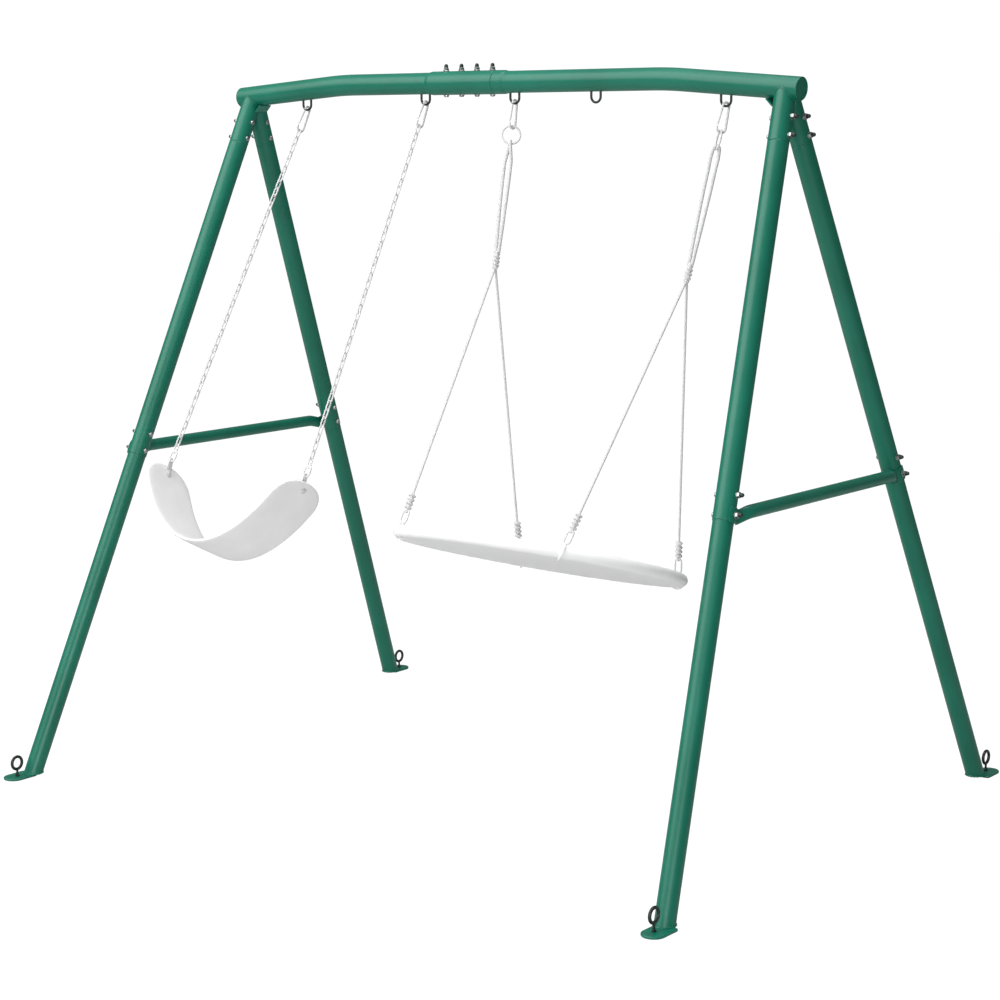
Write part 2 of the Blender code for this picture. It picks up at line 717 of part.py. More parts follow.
def saucer_mat(parent):
    """The cover's panel, stretched across the ring, with a notch for each rope's strap."""
    radius = SAUCER_R - SAUCER_TUBE_R - 0.0012
    mesh = cylinder(radius, *MAT, 48, turn=0.3)
    matrix = Matrix.Translation((0, 0, -SAUCER_RING_DOWN))
    obj = add("saucer_mat", mesh, "white_fabric", matrix, parent)
    for side in (-1, 1):
        for face in (-1, 1):
            foot = rope_foot(side, face)
            turn = Matrix.Rotation(atan2(foot.y, foot.x), 4, "Z")
            boolean(obj, "DIFFERENCE", box(MAT_NOTCH, (-STRAP_R, 0, 0)), Matrix.Translation(foot) @ turn)
    return obj


def snap_frame(side, pivot):
    """A saucer's snap hook hangs in line with its rope's knot."""
    target = Vector((side * SAUCER_R * cos(ROPE_AT), 0, -SAUCER_RING_DOWN))
    return frame_at(pivot, target - pivot, Vector((1, 0, 0)))


def oring_drop():
    inside = SNAP_BOW_DOWN + SNAP_BOW_R - SNAP_WIRE_R - ORING_WIRE_R - 0.0006
    return inside + ORING_R


def o_ring(name, matrix, turn, parent):
    place = matrix @ Matrix.Translation((0, 0, -oring_drop())) @ Matrix.Rotation(turn, 4, "Z")
    return add(name, ring_mesh(ORING_R, ORING_WIRE_R), "pale_steel", place, parent)


def rope_harness(name, side, matrix, turn, parent):
    """The doubled rope under an o-ring, its knot, and the two ropes down to the saucer."""
    bend = ORING_WIRE_R + LOOP_ROPE_R + 0.0004
    start = oring_drop() + ORING_R
    first, last = turn + pi / 2, 0.0
    if abs(first - last) > pi / 2:
        last = pi
    runs = []
    for share, spread in ((0, bend), *LOOP_SPREAD):
        angle = first + (last - first) * min(1, share * 1.5)
        offset = spread * Vector((cos(angle), sin(angle), 0))
        runs.append((offset, -start - (KNOT_DOWN - start) * share))
    across = Vector((cos(first), sin(first), 0))
    bow = [bend * (cos(a) * across + sin(a) * UP) - start * UP for a in (pi * k / 5 for k in range(1, 5))]
    path = [offset + Vector((0, 0, z)) for offset, z in reversed(runs)] + bow
    path += [Vector((0, 0, z)) - offset for offset, z in runs]
    obj = add(name, tube(path, LOOP_ROPE_R), "white_rope", matrix, parent)
    knot = cylinder(KNOT_R, -KNOT_DOWN - KNOT_H / 2, -KNOT_DOWN + KNOT_H / 2, 8)
    boolean(obj, "UNION", knot, matrix)
    for face in (-1, 1):
        strand_to(obj, matrix @ Vector((0, 0, -KNOT_DOWN)), side, face)
    return obj


def strand_to(obj, knot, side, face):
    """One lower rope with its adjuster, and the strap loop that goes round the ring."""
    foot = rope_foot(side, face)
    way = foot - knot
    matrix = frame_at(knot, way, Vector((1, 0, 0)))
    reach = way.length
    boolean(obj, "UNION", cylinder(ROPE_R, -(reach - STRAP_R), -0.012, 6), matrix)
    low = reach - ADJUSTER_UP
    boolean(obj, "UNION", cylinder(ADJUSTER[0], -low - ADJUSTER[1] / 2, -low + ADJUSTER[1] / 2, 8), matrix)
    tangent = Vector((-foot.y, foot.x, 0)).normalized()
    along = way.normalized()
    normal = (tangent - tangent.dot(along) * along).normalized()
    loop = Matrix((along, normal, along.cross(normal))).transposed().to_4x4()
    boolean(obj, "UNION", ring_mesh(STRAP_R, STRAP_WIRE_R, 14), Matrix.Translation(foot) @ loop)


def make_saucer_swing():
    empty, pivots = swing_frame("saucer_swing_pivot", (HOOKS_X[2], HOOKS_X[4]), SAUCER_ANGLE)
    saucer_ring(empty)
    saucer_mat(empty)
    sides = zip((-1, 1), ("left", "right"), pivots, ORING_TURNS, SAUCER_HOOK_TURNS)
    for side, label, pivot, turn, hook_turn in sides:
        matrix = snap_frame(side, pivot)
        hook = matrix @ Matrix.Rotation(hook_turn, 4, "Z")
        snap_hook(f"saucer_snap_hook_{label}", hook, empty)
        snap_gate(f"saucer_snap_gate_{label}", hook, empty)
        o_ring(f"saucer_o_ring_{label}", matrix, turn, empty)
        rope_harness(f"saucer_rope_{label}", side, matrix, turn, empty)


# ---- assembly ----
def make_frame():
    for label, side in (("left", -1), ("right", 1)):
        beam_half(label)
        brace(f"brace_{label}", side)
        for facing, face in (("front", -1), ("back", 1)):
            corner = f"{label}_{facing}"
            upper_leg(f"upper_leg_{corner}", side, face)
            lower_leg(f"lower_leg_{corner}", side, face)
            ground_anchor(f"ground_anchor_{corner}", side, face)
            places = zip(("socket_a", "socket_b", "mid_a", "mid_b"), SOCKET_BOLTS + MID_BOLTS)
            for place, down in places:
                extra = BRACE_PLATE[0] + GAP if place == "mid_b" else 0.0
                leg_bolt(f"bolt_{place}_{corner}", side, face, down, extra)
    for n, x in enumerate(BEAM_BOLTS_X, 1):
        through_bolt(f"beam_bolt_{n}", Matrix.Translation(beam_at(x)), SLEEVE_R, SLEEVE_R)
    for n, x in enumerate(HOOKS_X, 1):
        beam_hook(f"beam_hook_{n}", x)


clear_scene()
PARTS = new_collection("swing_set")
CUTTERS = new_collection("cutters")
MATERIALS = make_materials()
make_frame()
make_belt_swing()
make_saucer_swing()
bpy.context.view_layer.update()
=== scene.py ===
from math import cos, cosh, log, pi, radians, sin, sinh, sqrt

import bmesh
import bpy
from mathutils import Matrix, Vector, noise


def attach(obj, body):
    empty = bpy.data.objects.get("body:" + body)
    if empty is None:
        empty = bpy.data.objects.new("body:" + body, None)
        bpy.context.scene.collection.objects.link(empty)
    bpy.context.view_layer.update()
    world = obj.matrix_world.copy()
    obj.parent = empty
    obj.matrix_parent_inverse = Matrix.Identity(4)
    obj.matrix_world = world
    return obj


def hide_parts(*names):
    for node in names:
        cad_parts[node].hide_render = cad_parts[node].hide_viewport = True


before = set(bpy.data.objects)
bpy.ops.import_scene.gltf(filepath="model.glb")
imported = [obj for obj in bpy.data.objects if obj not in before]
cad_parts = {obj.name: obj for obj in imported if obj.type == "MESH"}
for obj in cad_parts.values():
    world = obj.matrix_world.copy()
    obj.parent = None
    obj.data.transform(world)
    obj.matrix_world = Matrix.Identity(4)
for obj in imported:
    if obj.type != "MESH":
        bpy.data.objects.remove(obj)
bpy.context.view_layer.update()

# ---- sizes ----
GAP = 0.0003
BEAM_HEIGHT, BEAM_R = 1.800, 0.0275
BEND_X, BEND_HALF = 0.516, 0.045
END_X, END_DROP = 0.883, 0.0287
SLEEVE_R, SLEEVE_BORE_R, SLEEVE_X, TAPER = 0.0300, 0.0284, -0.205, 0.010
COLLAR_X, SPIGOT_R = 0.026, 0.0277
BEAM_BOLTS_X = (-0.164, -0.114, -0.064, -0.014)

LEG_TOP_X, FOOT_X, FOOT_Y = 0.8416, 1.005, 0.7332
LEG_R, LEG_BORE_R, LEG_INNER_R = 0.0254, 0.0244, 0.0240
SOCKET_END, MID_SEAM = 0.137, 1.032
SOCKET_BOLTS, MID_BOLTS = (0.074, 0.120), (0.971, 1.017)
GUSSET = (0.024, 0.044, 0.004)

PLATE_W, PLATE_T, PLATE_INNER_Y, PLATE_TIP_Y, PLATE_X = 0.056, 0.006, 0.732, 0.815, 1.014
ANCHOR_X, ANCHOR_Y, ANCHOR_EYE_Z = 1.010, 0.780, 0.042
ANCHOR_EYE_R, ANCHOR_WIRE_R, ANCHOR_SHANK_R = 0.0165, 0.004, 0.003
BRACE_R, BRACE_PLATE, BRACE_WRAP = 0.0155, (0.0032, 0.036), radians(36)

HEAD, WASHER, NUT = (0.0072, 0.0055), (0.0082, 0.0016), (0.0074, 0.0068)
BOLT_R, BOLT_TIP = 0.004, 0.0095

HOOKS_X = (-0.645, -0.233, 0.056, 0.305, 0.679)
HOOK_WIRE_R, HOOK_HALF, HOOK_DROP = 0.003, 0.014, 0.0535
SNAP_WIRE_R, SNAP_TOP_R, SNAP_BOW_R, SNAP_BOW_DOWN = 0.003, 0.0085, 0.0120, 0.0525
GATE_R, GATE_PIVOT_DOWN, GATE_TOP_DOWN = 0.0026, 0.0470, 0.0046

BELT_ANGLE, BELT_PITCH = radians(29.8), radians(3.7)
BELT_RIVET_DOWN, BELT_HALF_CHORD, BELT_SAG = 1.0715, 0.236, 0.181
BELT_W, BELT_T, BELT_TIP, BELT_ROUND, EYE_UP = 0.166, 0.011, 0.021, 0.069, 0.034
CHAIN_WIRE_R, TOP_LINK = 0.002, (0.0052, 0.0257)
BIG_LINK, BIG_WIRE_R = (0.0095, 0.0285), 0.0025
CHAIN_PITCH = 0.0222

SAUCER_ANGLE = radians(16.65)
SAUCER_RING_DOWN, SAUCER_R, SAUCER_TUBE_R = 1.113, 0.343, 0.0145
ROPE_AT = radians(46)
ORING_R, ORING_WIRE_R, ORING_TURNS = 0.0230, 0.0026, (radians(38), radians(-45))
KNOT_DOWN, LOOP_ROPE_R, ROPE_R = 0.405, 0.0043, 0.0030
STRAP_R, ADJUSTER, ADJUSTER_UP = 0.0190, (0.0095, 0.038), 0.080
SAUCER_HOOK_TURNS = (0.0, radians(-26))
SEAM_AT = radians(-47)          # where the ring's sleeve is sewn shut
UP = Vector((0, 0, 1))


# ---- camera, lights and floor ----
def make_camera():
    """The photograph's view: its place, heading, tilt and roll."""
    data = bpy.data.cameras.new("camera")
    data.lens, data.sensor_width, data.clip_end = 84.42, 36.0, 60.0
    obj = bpy.data.objects.new("camera", data)
    bpy.context.scene.collection.objects.link(obj)
    yaw, pitch, roll = radians(37.766), radians(9.076), radians(-0.359)
    ahead = Vector((-sin(yaw) * cos(pitch), cos(yaw) * cos(pitch), -sin(pitch)))
    level = Vector((cos(yaw), sin(yaw), 0))
    high = level.cross(ahead)
    right = cos(roll) * level + sin(roll) * high
    up = -sin(roll) * level + cos(roll) * high
    turn = Matrix((right, up, -ahead)).transposed().to_4x4()
    obj.matrix_world = Matrix.Translation((3.6698, -4.7356, 1.6925)) @ turn
    bpy.context.scene.camera = obj


def area_light(name, place, target, size, power, colour=(1, 1, 1)):
    data = bpy.data.lights.new(name, "AREA")
    data.shape, data.size, data.energy, data.color = "DISK", size, power, colour
    obj = bpy.data.objects.new(name, data)
    bpy.context.scene.collection.objects.link(obj)
    aim = (Vector(target) - Vector(place)).to_track_quat("-Z", "Y")
    obj.matrix_world = Matrix.Translation(place) @ aim.to_matrix().to_4x4()


def make_world():
    """A white room to look at, with softer light than that from below and from the sides."""
    world = bpy.data.worlds.new("studio")
    bpy.context.scene.world = world
    world.use_nodes = True
    nodes, links = world.node_tree.nodes, world.node_tree.links
    nodes.clear()
    where = nodes.new("ShaderNodeTexCoord")
    split = nodes.new("ShaderNodeSeparateXYZ")
    ramp = nodes.new("ShaderNodeValToRGB")
    ramp.color_ramp.elements[0].position = 0.30
    ramp.color_ramp.elements[0].color = (0.05, 0.05, 0.05, 1)
    ramp.color_ramp.elements[1].position = 0.95
    ramp.color_ramp.elements[1].color = (0.96, 0.97, 0.97, 1)
    scale = nodes.new("ShaderNodeMapRange")
    scale.inputs["From Min"].default_value = -1
    scale.inputs["From Max"].default_value = 1
    path = nodes.new("ShaderNodeLightPath")
    soft = nodes.new("ShaderNodeBackground")
    white = nodes.new("ShaderNodeBackground")
    white.inputs["Color"].default_value = (1, 1, 1, 1)
    white.inputs["Strength"].default_value = 1.05
    soft.inputs["Strength"].default_value = 0.34
    mix = nodes.new("ShaderNodeMixShader")
    out = nodes.new("ShaderNodeOutputWorld")
    links.new(where.outputs["Generated"], split.inputs[0])
    links.new(split.outputs["Z"], scale.inputs["Value"])
    links.new(scale.outputs["Result"], ramp.inputs["Fac"])
    links.new(ramp.outputs["Color"], soft.inputs["Color"])
    links.new(path.outputs["Is Camera Ray"], mix.inputs["Fac"])
    links.new(soft.outputs[0], mix.inputs[1])
    links.new(white.outputs[0], mix.inputs[2])
    links.new(mix.outputs[0], out.inputs["Surface"])


def make_floor():
    """A pale floor that looks nearly white, and throws about half of its light back up."""
    bm = bmesh.new()
    bmesh.ops.create_grid(bm, x_segments=1, y_segments=1, size=30)
    mesh = bpy.data.meshes.new("floor")
    bm.to_mesh(mesh)
    bm.free()
    obj = bpy.data.objects.new("floor", mesh)
    bpy.context.scene.collection.objects.link(obj)
    obj.location.z = -0.0005
    mat = bpy.data.materials.new("floor")
    mat.use_nodes = True
    nodes, links = mat.node_tree.nodes, mat.node_tree.links
    nodes.clear()
    path = nodes.new("ShaderNodeLightPath")
    pale = nodes.new("ShaderNodeBsdfDiffuse")
    pale.inputs["Color"].default_value = (0.12, 0.12, 0.12, 1)
    dim = nodes.new("ShaderNodeBsdfDiffuse")
    dim.inputs["Color"].default_value = (0.52, 0.52, 0.52, 1)
    glow = nodes.new("ShaderNodeEmission")
    glow.inputs["Strength"].default_value = 0.97
    seen = nodes.new("ShaderNodeAddShader")
    mix = nodes.new("ShaderNodeMixShader")
    out = nodes.new("ShaderNodeOutputMaterial")
    links.new(pale.outputs[0], seen.inputs[0])
    links.new(glow.outputs[0], seen.inputs[1])
    links.new(path.outputs["Is Camera Ray"], mix.inputs["Fac"])
    links.new(dim.outputs[0], mix.inputs[1])
    links.new(seen.outputs[0], mix.inputs[2])
    links.new(mix.outputs[0], out.inputs["Surface"])
    mesh.materials.append(mat)


# ---- materials ----
def principled(name, colour, roughness, metallic=0.0, specular=0.5):
    mat = bpy.data.materials.new(name)
    mat.use_nodes = True
    shader = mat.node_tree.nodes["Principled BSDF"]
    shader.inputs["Base Color"].default_value = (*colour, 1)
    shader.inputs["Roughness"].default_value = roughness
    shader.inputs["Metallic"].default_value = metallic
    shader.inputs["Specular IOR Level"].default_value = specular
    return mat, shader


def noise_at(tree, scale, detail=3.0, coords="Object"):
    where = tree.nodes.new("ShaderNodeTexCoord")
    grain = tree.nodes.new("ShaderNodeTexNoise")
    grain.inputs["Scale"].default_value = scale
    grain.inputs["Detail"].default_value = detail
    tree.links.new(where.outputs[coords], grain.inputs["Vector"])
    return grain.outputs["Fac"]


def vary_colour(tree, shader, value, dark, light, low=0.35, high=0.65):
    ramp = tree.nodes.new("ShaderNodeValToRGB")
    ramp.color_ramp.elements[0].position = low
    ramp.color_ramp.elements[0].color = (*dark, 1)
    ramp.color_ramp.elements[1].position = high
    ramp.color_ramp.elements[1].color = (*light, 1)
    tree.links.new(value, ramp.inputs["Fac"])
    tree.links.new(ramp.outputs["Color"], shader.inputs["Base Color"])


def vary_roughness(tree, shader, value, low, high):
    spread = tree.nodes.new("ShaderNodeMapRange")
    spread.inputs["From Min"].default_value = 0.3
    spread.inputs["From Max"].default_value = 0.7
    spread.inputs["To Min"].default_value = low
    spread.inputs["To Max"].default_value = high
    tree.links.new(value, spread.inputs["Value"])
    tree.links.new(spread.outputs["Result"], shader.inputs["Roughness"])


def bump(tree, shader, value, strength, distance):
    node = tree.nodes.new("ShaderNodeBump")
    node.inputs["Strength"].default_value = strength
    node.inputs["Distance"].default_value = distance
    tree.links.new(value, node.inputs["Height"])
    tree.links.new(node.outputs["Normal"], shader.inputs["Normal"])


def coated(name, dark, light, roughness, specular=0.5):
    """Powder coat: a fine orange peel, and slow drifts of colour and gloss."""
    mat, shader = principled(name, light, roughness, specular=specular)
    tree = mat.node_tree
    drift = noise_at(tree, 5.0)
    vary_colour(tree, shader, drift, dark, light)
    vary_roughness(tree, shader, noise_at(tree, 60.0), roughness - 0.02, roughness + 0.03)
    bump(tree, shader, noise_at(tree, 700.0, 2.0), 0.03, 0.0003)
    return mat


def plated(name, dark, light, roughness, metallic):
    mat, shader = principled(name, light, roughness, metallic)
    tree = mat.node_tree
    vary_colour(tree, shader, noise_at(tree, 90.0), dark, light)
    vary_roughness(tree, shader, noise_at(tree, 240.0), roughness - 0.08, roughness + 0.10)
    bump(tree, shader, noise_at(tree, 1500.0), 0.08, 0.0002)
    return mat


def pebbled(name, dark, light):
    """Smooth soft plastic with a very fine leather-like grain."""
    mat, shader = principled(name, light, 0.50, specular=0.35)
    tree = mat.node_tree
    vary_colour(tree, shader, noise_at(tree, 14.0, 5.0), dark, light)
    vary_roughness(tree, shader, noise_at(tree, 120.0), 0.44, 0.58)
    where = tree.nodes.new("ShaderNodeTexCoord")
    cells = tree.nodes.new("ShaderNodeTexVoronoi")
    cells.inputs["Scale"].default_value = 520.0
    tree.links.new(where.outputs["Object"], cells.inputs["Vector"])
    bump(tree, shader, cells.outputs["Distance"], 0.18, 0.0004)
    return mat


def stripes(tree, coords, axis, scale, turn=0.0):
    """A wave along one axis of the coordinates, turned about their third axis."""
    where = tree.nodes.new("ShaderNodeTexCoord")
    place = tree.nodes.new("ShaderNodeMapping")
    place.inputs["Rotation"].default_value = (0, 0, turn)
    wave = tree.nodes.new("ShaderNodeTexWave")
    wave.bands_direction = axis
    wave.inputs["Scale"].default_value = scale
    tree.links.new(where.outputs[coords], place.inputs["Vector"])
    tree.links.new(place.outputs["Vector"], wave.inputs["Vector"])
    return wave.outputs["Fac"]


def maths(tree, operation, first, second):
    node = tree.nodes.new("ShaderNodeMath")
    node.operation = operation
    tree.links.new(first, node.inputs[0])
    tree.links.new(second, node.inputs[1])
    return node.outputs[0]


def woven(name, dark, light):
    """Plain-woven polyester: warp over weft, with sheen, a little slub, and painted shade in the gaps between
    the threads.
    """
    mat, shader = principled(name, light, 0.82, specular=0.25)
    tree = mat.node_tree
    shader.inputs["Sheen Weight"].default_value = 0.25
    shader.inputs["Sheen Roughness"].default_value = 0.5
    warp = stripes(tree, "Object", "X", 260.0)
    weft = stripes(tree, "Object", "Y", 260.0)
    weave = maths(tree, "MULTIPLY", warp, weft)
    slub_and_gap_shade = maths(tree, "MULTIPLY", weave, noise_at(tree, 30.0, 4.0))
    # colour darker where the weave is low: painted shade between the threads, mixed with random slub
    vary_colour(tree, shader, slub_and_gap_shade, dark, light, 0.0, 0.30)
    bump(tree, shader, weave, 0.25, 0.0005)
    return mat


def braided(name, dark, light):
    """Braided rope: two sets of slanted strands round it, from its own unwrapped surface, with painted shade
    in the grooves between the strands.
    """
    mat, shader = principled(name, light, 0.80, specular=0.25)
    tree = mat.node_tree
    shader.inputs["Sheen Weight"].default_value = 0.2
    one = stripes(tree, "UV", "X", 1.5, radians(45))
    two = stripes(tree, "UV", "X", 1.5, radians(-45))
    braid = maths(tree, "MAXIMUM", one, two)
    # painted shade: darker colour in the grooves, where the braid's height is low
    vary_colour(tree, shader, braid, dark, light, 0.1, 0.8)
    bump(tree, shader, braid, 0.35, 0.0006)
    return mat


def make_materials():
    return {
        "green": coated("green_powder_coat", (0.002, 0.122, 0.075), (0.004, 0.148, 0.094), 0.36, 0.40),
        "black": coated("black_green_paint", (0.002, 0.008, 0.006), (0.005, 0.017, 0.013), 0.36),
        "zinc": plated("bright_zinc", (0.28, 0.31, 0.30), (0.50, 0.53, 0.52), 0.30, 1.0),
        "steel": plated("pale_plating", (0.60, 0.60, 0.60), (0.68, 0.68, 0.68), 0.50, 0.0),
        "rubber": pebbled("pale_soft_plastic", (0.83, 0.825, 0.825), (0.87, 0.865, 0.865)),
        # the fabric's darker colour is painted shade in the gaps between threads, mixed with random slub
        "fabric": woven("white_polyester", (0.85, 0.85, 0.85), (0.94, 0.94, 0.94)),
        # the rope's darker colour is painted shade in the grooves between the strands
        "rope": braided("white_rope", (0.50, 0.50, 0.50), (0.62, 0.62, 0.62)),
    }


# ---- mesh building ----
class Shape:
    """Several closed skins, which become one mesh."""

    def __init__(self):
        self.bm = bmesh.new()
        self.uv = self.bm.loops.layers.uv.new("UVMap")

    def skin(self, rings, closed=False, slot=0):
        """A skin through rings of equal size. closed joins the last to the first, else both are capped."""
        rows = [[self.bm.verts.new(place) for place in ring] for ring in rings]
        count = len(rows[0])
        size = max((rings[0][0] - rings[0][count // 2]).length * pi, 1e-5)
        spans = list(zip(rows, rows[1:]))
        lengths = [0.0]
        for first, second in zip(rings, rings[1:]):
            step = sum(second, Vector()) / count - sum(first, Vector()) / count
            lengths.append(lengths[-1] + step.length / size)
        if closed:
            spans.append((rows[-1], rows[0]))
            lengths.append(lengths[-1] + lengths[1])
        for k, (row, following) in enumerate(spans):
            for n in range(count):
                m = (n + 1) % count
                face = self.bm.faces.new((row[n], row[m], following[m], following[n]))
                face.material_index = slot
                corners = ((n, k), (n + 1, k), (n + 1, k + 1), (n, k + 1))
                for loop, (around, along) in zip(face.loops, corners):
                    loop[self.uv].uv = (4 * around / count, 4 * lengths[along])
        if not closed:
            for row in (rows[0], rows[-1]):
                self.bm.faces.new(row).material_index = slot
        return self

    def wire(self, points, radius, sides=12, closed=False, slot=0, normal=None):
        """A round bar along points. radius is one number, or one for each point."""
        radii = radius if isinstance(radius, (list, tuple)) else [radius] * len(points)
        side = normal or (points[1] - points[0]).orthogonal()
        rings = []
        for n, place in enumerate(points):
            before = points[n - 1] if n or closed else place
            after = points[(n + 1) % len(points)] if n + 1 < len(points) or closed else place
            along = (after - before).normalized()
            side = (side - side.dot(along) * along).normalized()
            other = along.cross(side)
            rings.append([place + radii[n] * (cos(a) * side + sin(a) * other) for a in turns(sides)])
        return self.skin(rings, closed, slot)

    def lathe(self, profile, matrix, steps=48, slot=0):
        """A profile of (radius, distance down local -Z) turned about local Z."""
        rings = [[matrix @ Vector((r * cos(a), r * sin(a), -down)) for a in turns(steps)]
                 for r, down in supported(profile)]
        return self.skin(rings, slot=slot)

    def mesh(self, name, sharp=35):
        bmesh.ops.recalc_face_normals(self.bm, faces=self.bm.faces)
        mesh = bpy.data.meshes.new(name)
        self.bm.to_mesh(mesh)
        self.bm.free()
        mesh.shade_smooth()
        mesh.set_sharp_from_angle(angle=radians(sharp))
        return mesh


def piece(name, shape, looks, body, *nodes):
    """A piece that rides on a body, stands for nodes, and has a material for each of looks."""
    mesh = shape.mesh(name)
    for look in looks:
        mesh.materials.append(MATERIALS[look])
    obj = bpy.data.objects.new(name, mesh)
    bpy.context.scene.collection.objects.link(obj)
    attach(obj, body)
    if nodes:
        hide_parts(*nodes)
    return obj


def supported(profile, inset=0.001):
    """A (radius, place) profile with a ring just inside both ends of every long stretch, so
    that the soft shading of a small edge doesn't spread along it."""
    rows = [profile[0]]
    for (r0, p0), (r1, p1) in zip(profile, profile[1:]):
        share = inset / max(abs(p1 - p0), 1e-9)
        if share < 0.17:
            rows += [(r0 + (r1 - r0) * t, p0 + (p1 - p0) * t) for t in (share, 1 - share)]
        rows.append((r1, p1))
    return rows


def turns(count):
    return [2 * pi * n / count for n in range(count)]


def frame_at(origin, down, side):
    """A matrix whose -Z runs along down and whose X is as near to side as it can be."""
    z = -down.normalized()
    x = (side - side.dot(z) * z).normalized()
    turn = Matrix((x, z.cross(x), z)).transposed().to_4x4()
    return Matrix.Translation(origin) @ turn


def circle(matrix, radius, count):
    """Points of a circle in a matrix's local XZ plane."""
    return [matrix @ Vector((radius * cos(a), 0, radius * sin(a))) for a in turns(count)]


def stadium(matrix, half_width, height, centre, count=12):
    """Points of a long link in the local XZ plane, with its centre at centre below the origin."""
    straight = height / 2 - half_width
    points = []
    for middle, start in ((straight, 0), (-straight, pi)):
        for n in range(count + 1):
            a = start + pi * n / count
            local = Vector((half_width * cos(a), 0, middle + half_width * sin(a) - centre))
            points.append(matrix @ local)
    return points


# ---- lines of the frame ----
def beam_z(x):
    slope = END_DROP / (END_X - BEND_X)
    past = abs(x) - (BEND_X - BEND_HALF)
    if past <= 0:
        return BEAM_HEIGHT
    if past < 2 * BEND_HALF:
        return BEAM_HEIGHT - slope * past ** 2 / (4 * BEND_HALF)
    return BEAM_HEIGHT - slope * (abs(x) - BEND_X)


def beam_at(x):
    return Vector((x, 0, beam_z(x)))


def beam_ring(x, radius, count=56):
    along = (beam_at(x + 1e-4) - beam_at(x - 1e-4)).normalized()
    high = along.cross(Vector((0, 1, 0)))
    return [beam_at(x) + radius * (cos(a) * Vector((0, 1, 0)) + sin(a) * high) for a in turns(count)]


def leg_frame(side, face):
    """Local -Z runs down a leg from the beam axis, and local X is outwards."""
    top = beam_at(side * LEG_TOP_X)
    foot = Vector((side * FOOT_X, face * FOOT_Y, 0))
    return frame_at(top, foot - top, Vector((side, 0, 0)))


# ---- frame ----
def end_stations(sign):
    """Radii and places of a closed end, with its cap set in a little from the rim."""
    rows = [(END_X - 0.0022, 0.0246), (END_X - 0.0003, 0.0252), (END_X, 0.0262),
            (END_X - 0.0002, 0.0270), (END_X - 0.0010, BEAM_R)]
    return [(r, sign * x) for x, r in rows]


def beam_half(label, sign):
    shape = Shape()
    bend = [sign * (BEND_X + BEND_HALF * (1 - n / 6)) for n in range(13)]
    stations = end_stations(sign) + [(BEAM_R, x) for x in bend]
    if sign < 0:
        stations += [(BEAM_R, SLEEVE_X - TAPER), (SLEEVE_R - 0.0008, SLEEVE_X - 0.004),
                     (SLEEVE_R, SLEEVE_X), (SLEEVE_R, -0.0016), (SLEEVE_R - 0.0005, -0.0006),
                     (SLEEVE_R - 0.0012, -GAP), (SLEEVE_BORE_R, -GAP), (SLEEVE_BORE_R, -0.03)]
    else:
        stations += [(BEAM_R, COLLAR_X + TAPER), (SLEEVE_R - 0.0008, COLLAR_X + 0.004),
                     (SLEEVE_R, COLLAR_X), (SLEEVE_R, 0.0016), (SLEEVE_R - 0.0005, 0.0006),
                     (SLEEVE_R - 0.0012, 0), (SPIGOT_R, 0), (SPIGOT_R, -0.03)]
    shape.skin([beam_ring(x, r) for r, x in supported(stations)])
    for face in (-1, 1):
        matrix = leg_frame(sign, face)
        shape.lathe([(LEG_R, 0.004), (LEG_R, SOCKET_END - 0.0010), (LEG_R - 0.0007, SOCKET_END),
                     (LEG_BORE_R, SOCKET_END), (LEG_BORE_R, SOCKET_END - 0.01)], matrix, 56)
        shape.wire(socket_weld(sign, face), weld_radii(72, face), 8, closed=True)
    gusset(shape, sign)
    piece(f"{label}_beam", shape, ["green"], "frame", f"beam_{label}")


def socket_weld(sign, face):
    """The line where a socket meets the beam, or the other socket below the beam."""
    matrix = leg_frame(sign, face)
    top = matrix.translation
    down = -(matrix.to_3x3() @ UP)
    axis = (beam_at(sign * END_X) - beam_at(sign * 0.7)).normalized()
    points = []
    for a in turns(72):
        start = matrix @ Vector((LEG_R * cos(a), LEG_R * sin(a), 0))
        flat = (start - top) - (start - top).dot(axis) * axis
        way = down - down.dot(axis) * axis
        b, c = flat.dot(way), flat.dot(flat) - BEAM_R ** 2
        on_beam = (-b + sqrt(b * b - way.dot(way) * c)) / way.dot(way)
        on_middle = -start.y / down.y
        points.append(start + down * max(on_beam, on_middle))
    return points


def weld_radii(count, seed):
    """A weld bead's radius along it, rippled where each drop of metal set."""
    return [0.0017 + 0.0003 * sin(2 * pi * n / 3) + 0.0003 * noise.noise(Vector((n * 0.3, seed, 0)))
            for n in range(count)]


def gusset(shape, sign):
    """A small plate across the inside corner under the beam."""
    x = sign * (LEG_TOP_X - LEG_R - 0.008)
    place = Matrix.Translation((x, 0, beam_z(x) - BEAM_R - 0.008))
    matrix = place @ Matrix.Rotation(sign * radians(45), 4, "Y")
    long, wide, thick = (value / 2 for value in GUSSET)
    rings = []
    for height, inset in ((-thick, 0.0008), (-thick + 0.0006, 0), (thick - 0.0006, 0), (thick, 0.0008)):
        l, w = long - inset, wide - inset
        corners = ((-l, -w), (l, -w), (l, w), (-l, w))
        rings.append([matrix @ Vector((x, y, height)) for x, y in corners])
    shape.skin(rings)


def upper_leg(corner, side, face):
    shape = Shape()
    shape.lathe([
        (LEG_INNER_R, SOCKET_END - 0.010), (LEG_INNER_R, SOCKET_END + 0.0005),
        (LEG_R - 0.0007, SOCKET_END + 0.0005), (LEG_R, SOCKET_END + 0.0015),
        (LEG_R, MID_SEAM - 0.0012), (LEG_R - 0.0006, MID_SEAM), (LEG_BORE_R, MID_SEAM),
        (LEG_BORE_R, MID_SEAM - 0.012)], leg_frame(side, face), 56)
    piece(f"{corner}_upper_leg", shape, ["green"], "frame", f"upper_leg_{corner}")


